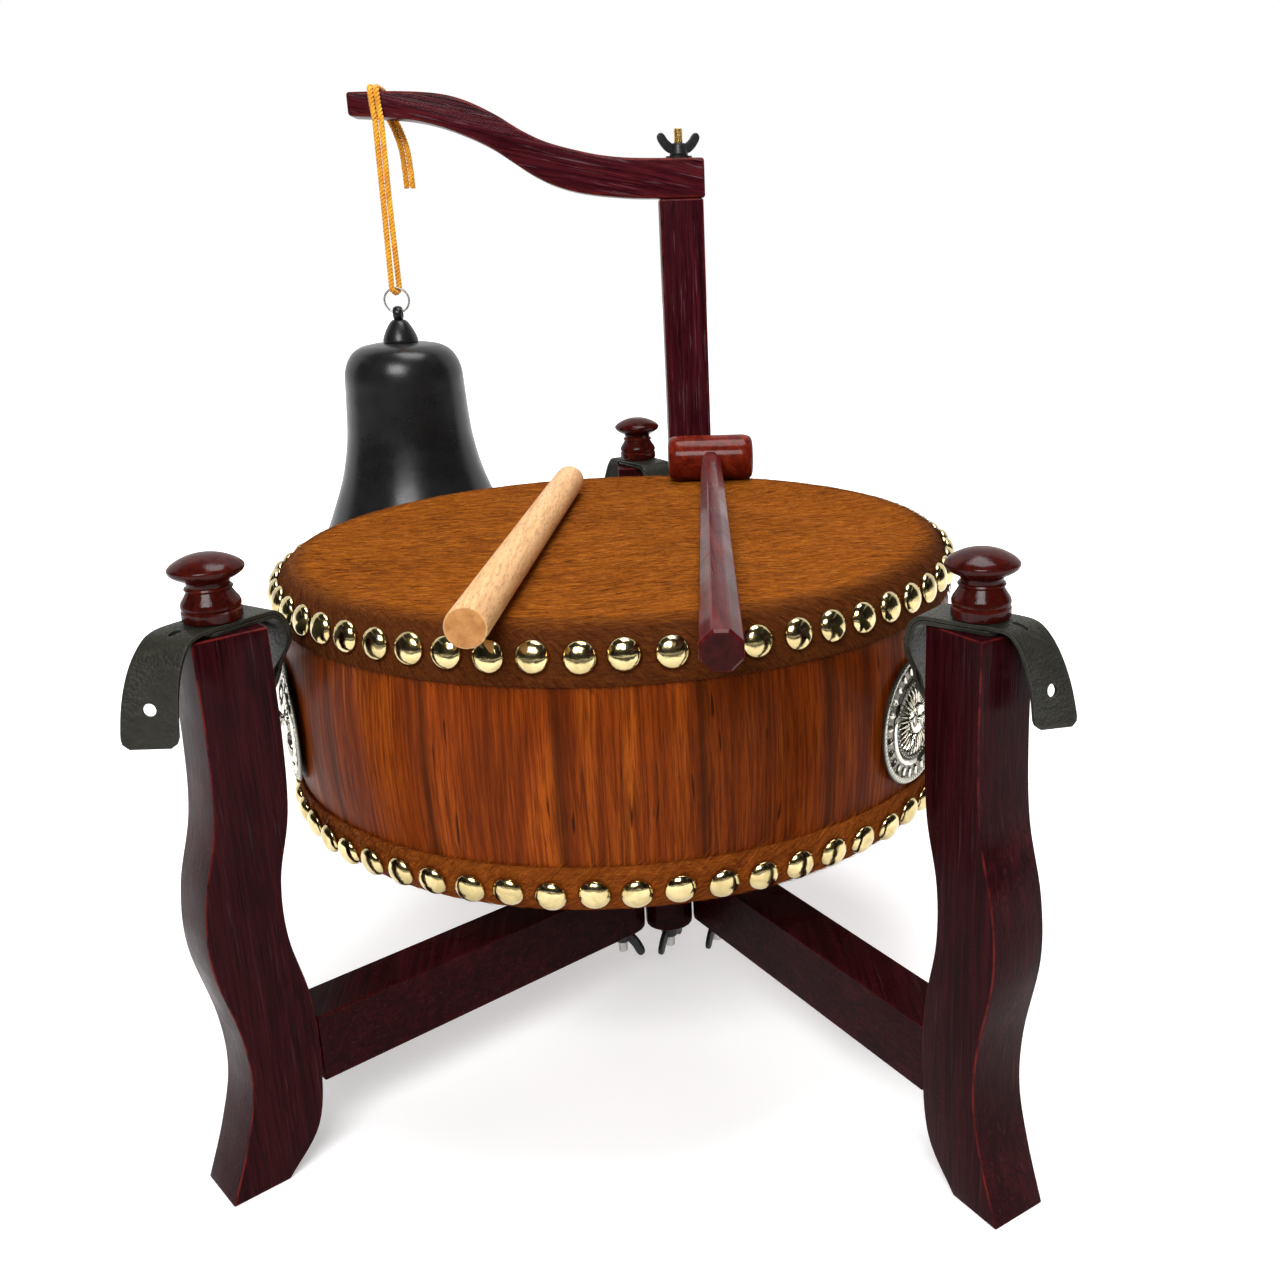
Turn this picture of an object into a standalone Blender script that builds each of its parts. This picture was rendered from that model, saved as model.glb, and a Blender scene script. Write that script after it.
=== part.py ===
"""A flat barrel drum hung by leather straps on a three-legged folding stand, with a bell on an arm.

Metres, +Z up, the feet on z = 0. Places in plan are given from the drum's axis, which stands at DRUM_AXIS.
"""

import math

import bmesh
import bpy
from mathutils import Matrix, Vector

# Clearances
GAP = 0.0003
BOLT_CLEARANCE = 0.0003

# The drum's axis in plan
DRUM_AXIS = Vector((0.0147, -0.0181, 0.0))

# Leg and knob heights
LEG_HEIGHT = 0.300
STRAP = 0.002
STRAP_TOP_LAYER = LEG_HEIGHT + 2 * GAP + 1.5 * STRAP

# Drum shell
SHELL_RADIUS = 0.203
SHELL_TAPER = 0.0075
SHELL_END_RADIUS = SHELL_RADIUS - SHELL_TAPER
SHELL_HALF_HEIGHT = 0.0745
SHELL_WALL = 0.014
STUD_PITCH = 0.022
DRUM_SIDES = round(2 * math.pi * SHELL_RADIUS / STUD_PITCH)

# Drum heads
HIDE = 0.0018
HIDE_BAND = 0.0272
HEAD_FOLD = 0.0085
HEAD_RISE = 0.0006
DRUM_MIDDLE_Z = LEG_HEIGHT + HEAD_RISE - HIDE - GAP - SHELL_HALF_HEIGHT

# Studs
STUD_Z = 0.0624
STUD_RADIUS = 0.0085
STUD_HEIGHT = 0.0046
STUD_BAND = 0.0005
STUD_BAND_HALF = 0.003
STUD_SEAT = 0.0005

# Ring plates, pins and rings
PLATE_AZIMUTH = {"left": -160.0, "right": -40.0, "back": 80.0}
PLATE_BELOW_MIDDLE = 0.006
PLATE_RADIUS = 0.037
PLATE_BOSS = 0.003
PIN_RADIUS = 0.0022
EYE_RADIUS = 0.0056
EYE_WIRE = 0.0018
RING_RADIUS = 0.0175
RING_WIRE = 0.0022
RING_RISE = {"left": 74.0, "right": 55.0, "back": 78.0}
CLENCH = Vector((0.003, 0.005, 0.022))

# Legs: how far each stands from the shell, and outlines of (way out from the leg's middle, share of its height)
LEG_AZIMUTH = {"left": -139.0, "right": -54.8, "back": 85.6}
LEG_STANDOFF = {"left": 0.0529, "right": 0.0779, "back": 0.0423}
LEG_WIDTH = 0.033
LEG_OUTSIDE = [
    (0.0405, 0.0), (0.0295, 0.10), (0.0222, 0.20), (0.0232, 0.307), (0.0318, 0.453),
    (0.0300, 0.567), (0.0208, 0.687), (0.0178, 0.817), (0.0176, 1.0),
]
LEG_INSIDE = [
    (-0.0188, 1.0), (-0.0186, 0.817), (-0.0160, 0.680), (-0.0080, 0.567), (-0.0074, 0.460),
    (-0.0142, 0.337), (-0.0152, 0.207), (-0.0095, 0.080), (0.0100, 0.0),
]
LEG_EDGE = 0.0012

# Rails and hub
HUB_MIDDLE = Vector((0.0195, -0.0280, 0.0))
HUB_TURN = math.radians(5.0)
RAIL_WIDTH = 0.030
RAIL_BOTTOM = 0.0464
RAIL_HEIGHT = 0.039
RAIL_SHOULDER = 0.0162
RAIL_APART = 0.001
HUB_PITCH = RAIL_WIDTH + RAIL_APART
TENON = Vector((0.018, 0.012, 0.024))
HUB_PLATE = 0.010
HUB_PLATE_HALF = 0.0155
REBATE_LENGTH = HUB_PLATE_HALF + 0.011
HUB_BOLT = 0.003
HUB_BOLT_END = 0.0285
BOLT_HEAD = [(0.0, 0.0032), (0.0035, 0.0027), (0.0060, 0.0014), (0.0068, 0.0)]
WASHER_RADIUS = 0.0085
WASHER = 0.0012

# Knobs and their studs: the outline's heights are above the knob's base
KNOB_BASE = STRAP_TOP_LAYER + STRAP / 2 + GAP
KNOB_OUTLINE = [
    (0.0, 0.0322), (0.0085, 0.0311), (0.0150, 0.0276), (0.0172, 0.0251), (0.0150, 0.0221),
    (0.0100, 0.0193), (0.0098, 0.0173), (0.0107, 0.0153), (0.0124, 0.0119), (0.0138, 0.0081),
    (0.0138, 0.0036), (0.0130, 0.0),
]
KNOB_STUD = 0.003
KNOB_STUD_IN_LEG = 0.021
KNOB_STUD_IN_KNOB = 0.0161
KNOB_BORE = 0.0176

# Straps: both bends over the leg run from half its width out along their way
STRAP_HALF = 0.0125
STRAP_HOLE = 0.0036
STRAP_SPARE_HOLE = 0.0026
STRAP_OVER_EDGE = [(0.0050, 0.0), (0.0097, -0.0012), (0.0127, -0.0046), (0.0138, -0.0098)]
STRAP_CURL = [(0.0120, 0.2), (0.0070, 0.6), (0.0030, 1.0), (0.0, 1.0)]
STRAP_END = 0.013
STRAP_PLAY = 0.0006
STRAP_POINT = 0.72
STRAP_SPARE_HOLE_ROWS = (-3, -8)
STRAP_TAIL_PLAN = {
    "left": Vector((-0.60, -0.80, 0.0)),
    "right": Vector((0.73, -0.68, 0.0)),
    "back": Vector((-0.478, 0.878, 0.0)),
}
STRAP_TAIL = {
    "left": [
        (0.0009, 0.0012, 0.0), (-0.0053, -0.0076, -0.0026), (-0.0106, -0.0143, -0.0146),
        (-0.0141, -0.0180, -0.0316), (-0.0161, -0.0193, -0.0501),
    ],
    "right": [
        (-0.0011, 0.0011, 0.0), (0.0051, -0.0035, -0.0026), (0.0109, -0.0071, -0.0131),
        (0.0151, -0.0101, -0.0286), (0.0174, -0.0123, -0.0461),
    ],
    "back": [
        (0.0007, -0.0013, 0.0), (-0.0035, 0.0063, -0.0022), (-0.0071, 0.0131, -0.0116),
        (-0.0111, 0.0204, -0.0286), (-0.0131, 0.0239, -0.0476),
    ],
}
STRAP_TAIL_ACROSS = {
    "left": Vector((0.97, 0.20, -0.10)),
    "right": Vector((0.93, 0.33, -0.10)),
    "back": Vector((-0.878, -0.478, 0.0)),
}

# Bell post, bolted beside the back leg with a packer between
POST_WIDTH = 0.033
POST_DEPTH = 0.030
POST_BEHIND_LEG = 0.0074
POST_BOTTOM = LEG_HEIGHT - 0.150
POST_TOP = LEG_HEIGHT + 0.1997
PACKER = 0.0078
PACKER_DEPTH = 0.026
PACKER_HEIGHT = 0.103
PACKER_TOP = LEG_HEIGHT - 0.001
SIDE_GAP = 0.0004
POST_BOLT_BELOW_TOP = {"upper": 0.038, "lower": 0.084}
POST_BOLT_OFF_MIDDLE = 0.004
POST_BOLT = 0.003
POST_NUT = 0.005
POST_NUT_RADIUS = 0.0058

# Bell arm: outlines run from the post's middle, and from the arm's seat on the post
ARM_DEPTH = 0.030
ARM_SEAT = POST_TOP + GAP
ARM_OVER = [
    (-0.2370, 0.0765), (-0.2035, 0.0768), (-0.1739, 0.0750), (-0.1536, 0.0700), (-0.1330, 0.0602),
    (-0.1158, 0.0496), (-0.0982, 0.0413), (-0.0766, 0.0352), (-0.0555, 0.0310), (-0.0304, 0.0290),
    (0.0180, 0.0285),
]
ARM_UNDER = [
    (0.0180, 0.0), (-0.0255, 0.0002), (-0.0512, 0.0020), (-0.0755, 0.0053), (-0.0944, 0.0110),
    (-0.1093, 0.0185), (-0.1239, 0.0282), (-0.1384, 0.0378), (-0.1558, 0.0462), (-0.1759, 0.0535),
    (-0.1997, 0.0582), (-0.2370, 0.0605),
]
ARM_STUD = 0.0035
ARM_STUD_IN_POST = 0.038
ARM_STUD_OVER_ARM = 0.021
ARM_WASHER = 0.0015

# Bell cord, doubled: its places run from the bell's axis, and from the top of the arm's tip
CORD = 0.0019
CORD_SPREAD = 0.0022
CORD_OFF_AXIS = 0.0020
ARM_TIP_TOP = ARM_SEAT + 0.0765
CORD_CUT = -0.0190
CORD_HITCH_ROUTE = [
    (-0.0022, -0.0020, CORD_CUT + GAP), (-0.0032, -0.0021, -0.0085), (-0.0036, -0.0020, -0.0010),
    (-0.0038, 0.0004, 0.0027), (-0.0038, 0.0134, 0.0032), (-0.0036, 0.0296, 0.0032),
    (-0.0028, 0.0332, -0.0013), (-0.0004, 0.0333, -0.0105), (0.0052, 0.0324, -0.0220),
    (0.0097, 0.0299, -0.0365), (0.0112, 0.0280, -0.0525), (0.0116, 0.0274, -0.0645),
]
CORD_TAIL_SHIFT = Vector((0.0043, 0.0, 0.0))

# Bell: its outline's heights are below its top
BELL_FROM_POST = Vector((-0.2157, -0.0154, 0.0))
SPLIT_RING_RADIUS = 0.0090
SPLIT_RING_WIRE = 0.0010
SPLIT_RING_Z = ARM_TIP_TOP - 0.1447
CROWN_EYE_RADIUS = 0.0038
CROWN_EYE_WIRE = 0.0018
CROWN_EYE_Z = SPLIT_RING_Z - SPLIT_RING_RADIUS - 0.0006
CROWN_RADIUS = 0.0130
CROWN_TOP = CROWN_EYE_Z - 0.0044
CROWN_SHANK = 0.0037
CROWN_SHANK_LENGTH = 0.0135
BELL_TOP = CROWN_TOP - 0.0166
BELL_OUTSIDE = [
    (0.0190, 0.0003), (0.0300, 0.0027), (0.0380, 0.0087), (0.0430, 0.0202), (0.0443, 0.0372),
    (0.0456, 0.0572), (0.0478, 0.0762), (0.0535, 0.1002), (0.0625, 0.1242), (0.0700, 0.1422),
    (0.0725, 0.1522),
]
BELL_HEIGHT = 0.1532
BELL_LIP = 0.0005
BELL_WALL = 0.0038
CROWN_NUT_RADIUS = 0.0085
CROWN_NUT = 0.006

# Stick and mallet
STICK_RADIUS = 0.010
STICK_NEAR = Vector((-0.0693, -0.2255, 0.0))
STICK_FAR = Vector((-0.0320, 0.1300, 0.0))
MALLET_HEAD_RADIUS = 0.0165
MALLET_HEAD_LENGTH = 0.062
MALLET_HEAD_PLACE = Vector((0.0700, 0.1580, 0.0))
MALLET_NEAR = Vector((0.0398, -0.2715, 0.0))
MALLET_NEAR_ABOVE_HEAD = 0.0079
MALLET_NEAR_RADIUS = 0.0103
MALLET_NECK_RADIUS = 0.0072

SIDES = ("left", "right", "back")
UP = Vector((0.0, 0.0, 1.0))

FINISHES = {
    "lacquer": ((0.045, 0.008, 0.009, 1.0), 0.28, 0.0),
    "staves": ((0.30, 0.10, 0.025, 1.0), 0.35, 0.0),
    "hide": ((0.26, 0.10, 0.025, 1.0), 0.75, 0.0),
    "gilt": ((0.80, 0.66, 0.38, 1.0), 0.15, 1.0),
    "chrome": ((0.72, 0.71, 0.68, 1.0), 0.12, 1.0),
    "steel": ((0.45, 0.44, 0.42, 1.0), 0.30, 1.0),
    "black_steel": ((0.012, 0.012, 0.013, 1.0), 0.45, 0.6),
    "leather": ((0.030, 0.034, 0.028, 1.0), 0.60, 0.0),
    "black_paint": ((0.014, 0.014, 0.015, 1.0), 0.42, 0.2),
    "cord": ((0.90, 0.38, 0.01, 1.0), 0.75, 0.0),
    "beech": ((0.66, 0.43, 0.19, 1.0), 0.55, 0.0),
    "red_lacquer": ((0.14, 0.016, 0.012, 1.0), 0.15, 0.0),
}


def clear_scene():
    for obj in list(bpy.data.objects):
        bpy.data.objects.remove(obj)


def new_collection(name):
    collection = bpy.data.collections.new(name)
    bpy.context.scene.collection.children.link(collection)
    return collection


def finish(obj, kind):
    """Gives the object its own material."""
    colour, roughness, metallic = FINISHES[kind]
    material = bpy.data.materials.new(obj.name + "_finish")
    material.use_nodes = True
    shader = material.node_tree.nodes["Principled BSDF"]
    shader.inputs["Base Color"].default_value = colour
    shader.inputs["Roughness"].default_value = roughness
    shader.inputs["Metallic"].default_value = metallic
    material.diffuse_color = colour
    obj.data.materials.clear()
    obj.data.materials.append(material)


def add(name, mesh, kind, matrix=Matrix()):
    """One sub-part, with its origin where the matrix puts it."""
    obj = bpy.data.objects.new(name, mesh)
    obj.matrix_world = matrix
    parts.objects.link(obj)
    mesh.shade_smooth()
    mesh.set_sharp_from_angle(angle=math.radians(32))
    finish(obj, kind)
    return obj


def place(point, z=None):
    """A point given from the drum's axis, in the part's frame."""
    found = point + DRUM_AXIS
    if z is not None:
        found.z = z
    return found


def facing(origin, direction, across=None):
    """A matrix at the origin whose Z runs along the direction and, where given, whose X is nearest across."""
    z = direction.normalized()
    if across is None:
        across = Vector((0.0, 1.0, 0.0)) if abs(z.x) > 0.9 else Vector((1.0, 0.0, 0.0))
    y = z.cross(across).normalized()
    x = y.cross(z)
    matrix = Matrix((x, y, z)).transposed().to_4x4()
    matrix.translation = origin
    return matrix


def mesh_from(builder, name="shape"):
    mesh = bpy.data.meshes.new(name)
    builder.to_mesh(mesh)
    builder.free()
    return mesh


def block(size, centre=Vector()):
    builder = bmesh.new()
    matrix = Matrix.Translation(centre) @ Matrix.Diagonal((size.x, size.y, size.z, 1.0))
    bmesh.ops.create_cube(builder, size=1.0, matrix=matrix)
    return mesh_from(builder)


def cylinder(radius, bottom, top, sides=16, top_radius=None):
    """A cylinder or cone round Z."""
    builder = bmesh.new()
    bmesh.ops.create_cone(
        builder,
        cap_ends=True,
        segments=sides,
        radius1=radius,
        radius2=radius if top_radius is None else top_radius,
        depth=top - bottom,
        matrix=Matrix.Translation((0.0, 0.0, (bottom + top) / 2)),
    )
    return mesh_from(builder)


def bevelled(obj, width):
    """Takes the sharp corners off."""
    modifier = obj.modifiers.new("Edge", "BEVEL")
    modifier.width = width
    modifier.segments = 1
    modifier.limit_method = "ANGLE"
    modifier.angle_limit = math.radians(40)
    return obj


def turned(name, outline, kind, matrix, steps=24, closed=False):
    """A profile of (radius, height) points turned round Z, listed down the outer side from the top."""
    points = [(radius, 0.0, z) for radius, z in outline]
    edges = [(i, i + 1) for i in range(len(points) - 1)]
    if closed:
        edges.append((len(points) - 1, 0))
    mesh = bpy.data.meshes.new(name)
    mesh.from_pydata(points, edges, [])
    obj = bpy.data.objects.new(name, mesh)
    obj.matrix_world = matrix
    parts.objects.link(obj)
    screw = obj.modifiers.new("Turned", "SCREW")
    screw.steps = steps
    screw.render_steps = steps
    screw.use_smooth_shade = True
    screw.use_merge_vertices = True
    screw.merge_threshold = 0.00001
    finish(obj, kind)
    return obj


def cut(target, mesh, matrix, operation="DIFFERENCE"):
    """Takes the mesh away from the target, or joins it on."""
    cutter = bpy.data.objects.new(target.name + "_cutter", mesh)
    cutter.matrix_world = matrix
    cutter.hide_render = True
    cutter.display_type = "WIRE"
    cutters.objects.link(cutter)
    modifier = target.modifiers.new(operation.title(), "BOOLEAN")
    modifier.operation = operation
    modifier.object = cutter


def drill(targets, start, end, radius, sides=16):
    """One round hole through every target, from start to end."""
    matrix = facing(start, end - start)
    for target in targets:
        cut(target, cylinder(radius, 0.0, (end - start).length, sides), matrix)


def smooth_through(points, steps):
    """A smooth line through the points, with that many stretches between each two."""
    points = [Vector(p) for p in points]
    ends = [2 * points[0] - points[1]] + points + [2 * points[-1] - points[-2]]
    found = []
    for i in range(1, len(ends) - 2):
        a, b, c, d = ends[i - 1 : i + 3]
        square = 2 * a - 5 * b + 4 * c - d
        cube = 3 * b - a - 3 * c + d
        for k in range(steps):
            t = k / steps
            found.append(0.5 * (2 * b + (c - a) * t + square * t**2 + cube * t**3))
    found.append(points[-1])
    return found


def as_mesh(curve_object):
    """The curve object's mesh with its caps welded on. The curve is removed."""
    bpy.context.view_layer.update()
    graph = bpy.context.evaluated_depsgraph_get()
    mesh = bpy.data.meshes.new_from_object(curve_object.evaluated_get(graph))
    builder = bmesh.new()
    builder.from_mesh(mesh)
    bmesh.ops.remove_doubles(builder, verts=builder.verts, dist=0.00001)
    bmesh.ops.recalc_face_normals(builder, faces=builder.faces)
    builder.to_mesh(mesh)
    builder.free()
    mesh.materials.clear()
    bpy.data.objects.remove(curve_object)
    return mesh


def flat_outline(outline, thickness):
    """A flat shape in XY of that thickness, half of it to each side."""
    curve = bpy.data.curves.new("outline", "CURVE")
    curve.dimensions = "2D"
    curve.fill_mode = "BOTH"
    curve.extrude = thickness / 2
    spline = curve.splines.new("POLY")
    spline.points.add(len(outline) - 1)
    for point, (x, y) in zip(spline.points, outline):
        point.co = (x, y, 0.0, 1.0)
    spline.use_cyclic_u = True
    obj = bpy.data.objects.new("outline", curve)
    parts.objects.link(obj)
    return as_mesh(obj)


def tube(name, line, radius, kind, sides_level=2):
    """A round cord along the line."""
    curve = bpy.data.curves.new(name, "CURVE")
    curve.dimensions = "3D"
    curve.bevel_depth = radius
    curve.bevel_resolution = sides_level
    curve.use_fill_caps = True
    spline = curve.splines.new("POLY")
    spline.points.add(len(line) - 1)
    for point, co in zip(spline.points, line):
        point.co = (*co, 1.0)
    obj = bpy.data.objects.new(name, curve)
    parts.objects.link(obj)
    finish(obj, kind)
    return obj


def torus(radius, wire, around, along):
    """A ring round Z. The object that the primitive comes with is removed."""
    bpy.ops.mesh.primitive_torus_add(
        major_radius=radius, minor_radius=wire, major_segments=around, minor_segments=along
    )
    obj = bpy.context.object
    mesh = obj.data
    bpy.data.objects.remove(obj)
    return mesh


# Drum


def shell_radius(z):
    """The barrel's outer radius at a height above or below the drum's middle."""
    return SHELL_RADIUS - (SHELL_RADIUS - SHELL_END_RADIUS) * (z / SHELL_HALF_HEIGHT) ** 2


def drum_matrix(flip=False):
    matrix = Matrix.Translation(place(Vector(), DRUM_MIDDLE_Z))
    return matrix @ Matrix.Rotation(math.pi, 4, "X") if flip else matrix


def make_shell():
    band = SHELL_HALF_HEIGHT - HIDE_BAND
    outside = [(shell_radius(z), z) for z in (fold_z(), band, 0.0, -band, -fold_z())]
    top = [(face_edge(), SHELL_HALF_HEIGHT)]
    bottom = [(face_edge(), -SHELL_HALF_HEIGHT)]
    inside = SHELL_END_RADIUS - SHELL_WALL
    outline = top + outside + bottom + [(inside, -SHELL_HALF_HEIGHT), (inside, SHELL_HALF_HEIGHT)]
    return turned("drum_shell", outline, "staves", drum_matrix(), DRUM_SIDES, closed=True)


def face_edge():
    """Where the flat of the shell's end turns down."""
    return SHELL_END_RADIUS - HEAD_FOLD


def fold_z():
    """Where that turn meets the shell's side, above the drum's middle."""
    return SHELL_HALF_HEIGHT - HEAD_FOLD


def hide_radius(z):
    return shell_radius(z) + GAP + HIDE


def make_head(name, flip):
    top = SHELL_HALF_HEIGHT + GAP + HIDE
    lower = SHELL_HALF_HEIGHT - HIDE_BAND
    round_off = HEAD_FOLD * 0.3
    outside = [
        (0.0, top),
        (face_edge() + HIDE * 0.4, top),
        (SHELL_END_RADIUS - round_off + GAP, SHELL_HALF_HEIGHT - round_off + GAP),
        (hide_radius(fold_z()), fold_z()),
        (hide_radius(lower), lower),
    ]
    inside = [
        (shell_radius(lower) + GAP, lower),
        (shell_radius(fold_z()) + GAP, fold_z()),
        (face_edge(), SHELL_HALF_HEIGHT + GAP),
        (0.0, SHELL_HALF_HEIGHT + GAP),
    ]
    return turned(name, outside + inside, "hide", drum_matrix(flip), DRUM_SIDES)


def stud_mesh():
    """A low six-sided stud on z = 0, sunk into the band below it."""
    foot = STUD_BAND * 0.6
    slope = STUD_RADIUS / STUD_HEIGHT
    return cylinder(STUD_RADIUS + foot * slope, -foot, STUD_HEIGHT, 6, 0.0)


def make_stud_row(name, flip):
    """The studs stand square to the hide, and a thin band behind them joins them into one piece."""
    half_step = math.pi / DRUM_SIDES
    slope = (shell_radius(STUD_Z + 0.001) - shell_radius(STUD_Z - 0.001)) / 0.002
    lean = -math.atan(slope)
    seat = hide_radius(STUD_Z) + STUD_SEAT
    low = STUD_Z - STUD_BAND_HALF
    high = STUD_Z + STUD_BAND_HALF
    radius_low = seat + slope * (low - STUD_Z)
    radius_high = seat + slope * (high - STUD_Z)
    outline = [
        (radius_high + STUD_BAND, high),
        (radius_low + STUD_BAND, low),
        (radius_low, low),
        (radius_high, high),
    ]
    row = turned(name, outline, "gilt", drum_matrix(flip), DRUM_SIDES, closed=True)
    builder = bmesh.new()
    stud = stud_mesh()
    flat_seat = (seat + STUD_BAND) * math.cos(half_step)
    for k in range(DRUM_SIDES):
        turn = Matrix.Rotation((2 * k + 1) * half_step, 4, "Z")
        tilt = Matrix.Rotation(math.pi / 2 - lean, 4, "Y")
        stand = turn @ Matrix.Translation((flat_seat, 0.0, STUD_Z)) @ tilt
        copy = stud.copy()
        copy.transform(stand)
        builder.from_mesh(copy)
        bpy.data.meshes.remove(copy)
    bpy.data.meshes.remove(stud)
    cut(row, mesh_from(builder), drum_matrix(flip), "UNION")
    return row


def outward(side):
    return polar(PLATE_AZIMUTH[side], 1.0)


def plate_back():
    return SHELL_RADIUS + GAP


def plate_z():
    return DRUM_MIDDLE_Z - PLATE_BELOW_MIDDLE


def eye_centre(side):
    distance = plate_back() + PLATE_BOSS + GAP + EYE_RADIUS + EYE_WIRE
    return place(outward(side) * distance, plate_z())


def ring_frame(side):
    """(the way the ring runs from its eye, the way its pin's eye is bored)"""
    rise = math.radians(RING_RISE[side])
    return outward(side) * math.cos(rise) + UP * math.sin(rise), UP.cross(outward(side))


def ring_slack():
    return EYE_RADIUS - EYE_WIRE - RING_WIRE - GAP


def ring_centre(side):
    return eye_centre(side) + ring_frame(side)[0] * (RING_RADIUS + ring_slack())


def make_plate(side):
    outline = [
        (0.0085, PLATE_BOSS),
        (0.0190, 0.0018),
        (0.0245, 0.0032),
        (0.0345, 0.0026),
        (PLATE_RADIUS, 0.0010),
        (PLATE_RADIUS, 0.0),
        (PIN_RADIUS + BOLT_CLEARANCE, 0.0),
        (PIN_RADIUS + BOLT_CLEARANCE, PLATE_BOSS),
    ]
    matrix = facing(place(outward(side) * plate_back(), plate_z()), outward(side), UP)
    turned("ring_plate_" + side, outline, "chrome", matrix, 16, closed=True)


def make_ring_pin(side, shell):
    """An eye in front of the plate, a shank through the shell, and its clenched end inside."""
    inner = (SHELL_END_RADIUS - SHELL_WALL) * math.cos(math.pi / DRUM_SIDES) - GAP
    start = place(outward(side) * (inner - CLENCH.x / 2), plate_z())
    centre = eye_centre(side)
    across = ring_frame(side)[1]
    pin = add("ring_pin_" + side, torus(EYE_RADIUS, EYE_WIRE, 12, 6), "chrome", facing(centre, across))
    reach = (centre - start).length - EYE_RADIUS
    cut(pin, cylinder(PIN_RADIUS, 0.0, reach, 10), facing(start, outward(side)), "UNION")
    cut(pin, block(Vector((CLENCH.z, CLENCH.y, CLENCH.x))), facing(start, outward(side), UP), "UNION")
    drill([shell], start, centre, PIN_RADIUS + BOLT_CLEARANCE, 12)


def make_ring(side):
    """Its origin is in the eye, where it hinges."""
    along, across = ring_frame(side)
    mesh = torus(RING_RADIUS, RING_WIRE, 18, 6)
    mesh.transform(Matrix.Translation((RING_RADIUS + ring_slack(), 0.0, 0.0)))
    normal = along.cross(across)
    add("drum_ring_" + side, mesh, "steel", facing(eye_centre(side), normal, along))


def make_drum():
    shell = make_shell()
    make_head("drum_head_top", False)
    make_head("drum_head_bottom", True)
    make_stud_row("stud_row_top", False)
    make_stud_row("stud_row_bottom", True)
    for side in SIDES:
        make_plate(side)
        make_ring_pin(side, shell)
        make_ring(side)


# Stand


def polar(azimuth, distance):
    angle = math.radians(azimuth)
    return Vector((math.cos(angle) * distance, math.sin(angle) * distance, 0.0))


def leg_place(side):
    """The leg's middle at its top, where its knob's stud stands."""
    return polar(LEG_AZIMUTH[side], SHELL_RADIUS + LEG_STANDOFF[side])


def hub_bolt_place(side):
    steps = {"left": -1, "back": 0, "right": 1}[side]
    return HUB_MIDDLE + polar(math.degrees(HUB_TURN), HUB_PITCH) * steps


def rail_way(side):
    return (leg_place(side) - hub_bolt_place(side)).normalized()


def rail_middle():
    return RAIL_BOTTOM + RAIL_HEIGHT / 2


def upright_matrix(origin, way):
    """X along the way, Y up and Z across, for an outline drawn in radius and height."""
    matrix = Matrix((way, UP, way.cross(UP))).transposed().to_4x4()
    matrix.translation = origin
    return matrix


def make_leg(side):
    """The leg's origin is on its hub bolt, where it swivels."""
    outline = smooth_through([(r, share * LEG_HEIGHT, 0.0) for r, share in LEG_OUTSIDE], 2)
    outline += smooth_through([(r, share * LEG_HEIGHT, 0.0) for r, share in LEG_INSIDE], 2)
    mesh = flat_outline([(point.x, point.y) for point in outline], LEG_WIDTH)
    way = rail_way(side)
    origin = place(hub_bolt_place(side), 0.0)
    leg_foot = place(leg_place(side), 0.0)
    mesh.transform(Matrix.Translation(-origin) @ upright_matrix(leg_foot, way))
    leg = bevelled(add("leg_" + side, mesh, "lacquer", Matrix.Translation(origin)), LEG_EDGE)
    mortise = TENON + Vector((RAIL_SHOULDER * 0.5, 2 * GAP, 2 * GAP))
    start = place(leg_place(side) - way * (RAIL_SHOULDER + 0.004), rail_middle())
    centre = Vector((mortise.x / 2, 0.0, 0.0))
    cut(leg, block(mortise, centre), facing(start, UP, way))
    stud_foot = place(leg_place(side), LEG_HEIGHT - KNOB_STUD_IN_LEG - GAP)
    drill([leg], stud_foot, place(leg_place(side), LEG_HEIGHT + 0.01), KNOB_STUD + BOLT_CLEARANCE, 12)
    return leg


def make_rail(side):
    """Round at the hub, rebated on top for the hub plate, with a tenon in the leg."""
    way = rail_way(side)
    length = (leg_place(side) - hub_bolt_place(side)).length - RAIL_SHOULDER
    half = RAIL_WIDTH / 2
    arc = [math.pi / 2 + math.pi * k / 10 for k in range(11)]
    outline = [(half * math.cos(a), half * math.sin(a)) for a in arc] + [(length, -half), (length, half)]
    origin = place(hub_bolt_place(side), rail_middle())
    mesh = flat_outline(outline, RAIL_HEIGHT)
    rail = bevelled(add("rail_" + side, mesh, "lacquer", facing(origin, UP, way)), 0.0008)
    overlap = 0.004
    tenon = Vector((TENON.x - 0.006 + overlap, TENON.y, TENON.z))
    tenon_centre = Vector((length - overlap + tenon.x / 2, 0.0, 0.0))
    cut(rail, block(tenon, tenon_centre), facing(origin, UP, way), "UNION")
    depth = HUB_PLATE + GAP
    rebate = Vector((REBATE_LENGTH + RAIL_WIDTH, RAIL_WIDTH + 0.01, depth + 0.01))
    rebate_centre = Vector(((REBATE_LENGTH - RAIL_WIDTH) / 2, 0.0, RAIL_HEIGHT / 2 - depth + rebate.z / 2))
    cut(rail, block(rebate, rebate_centre), facing(origin, UP, way))
    top = place(hub_bolt_place(side), 0.1)
    drill([rail], place(hub_bolt_place(side), 0.02), top, HUB_BOLT + BOLT_CLEARANCE, 12)


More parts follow.
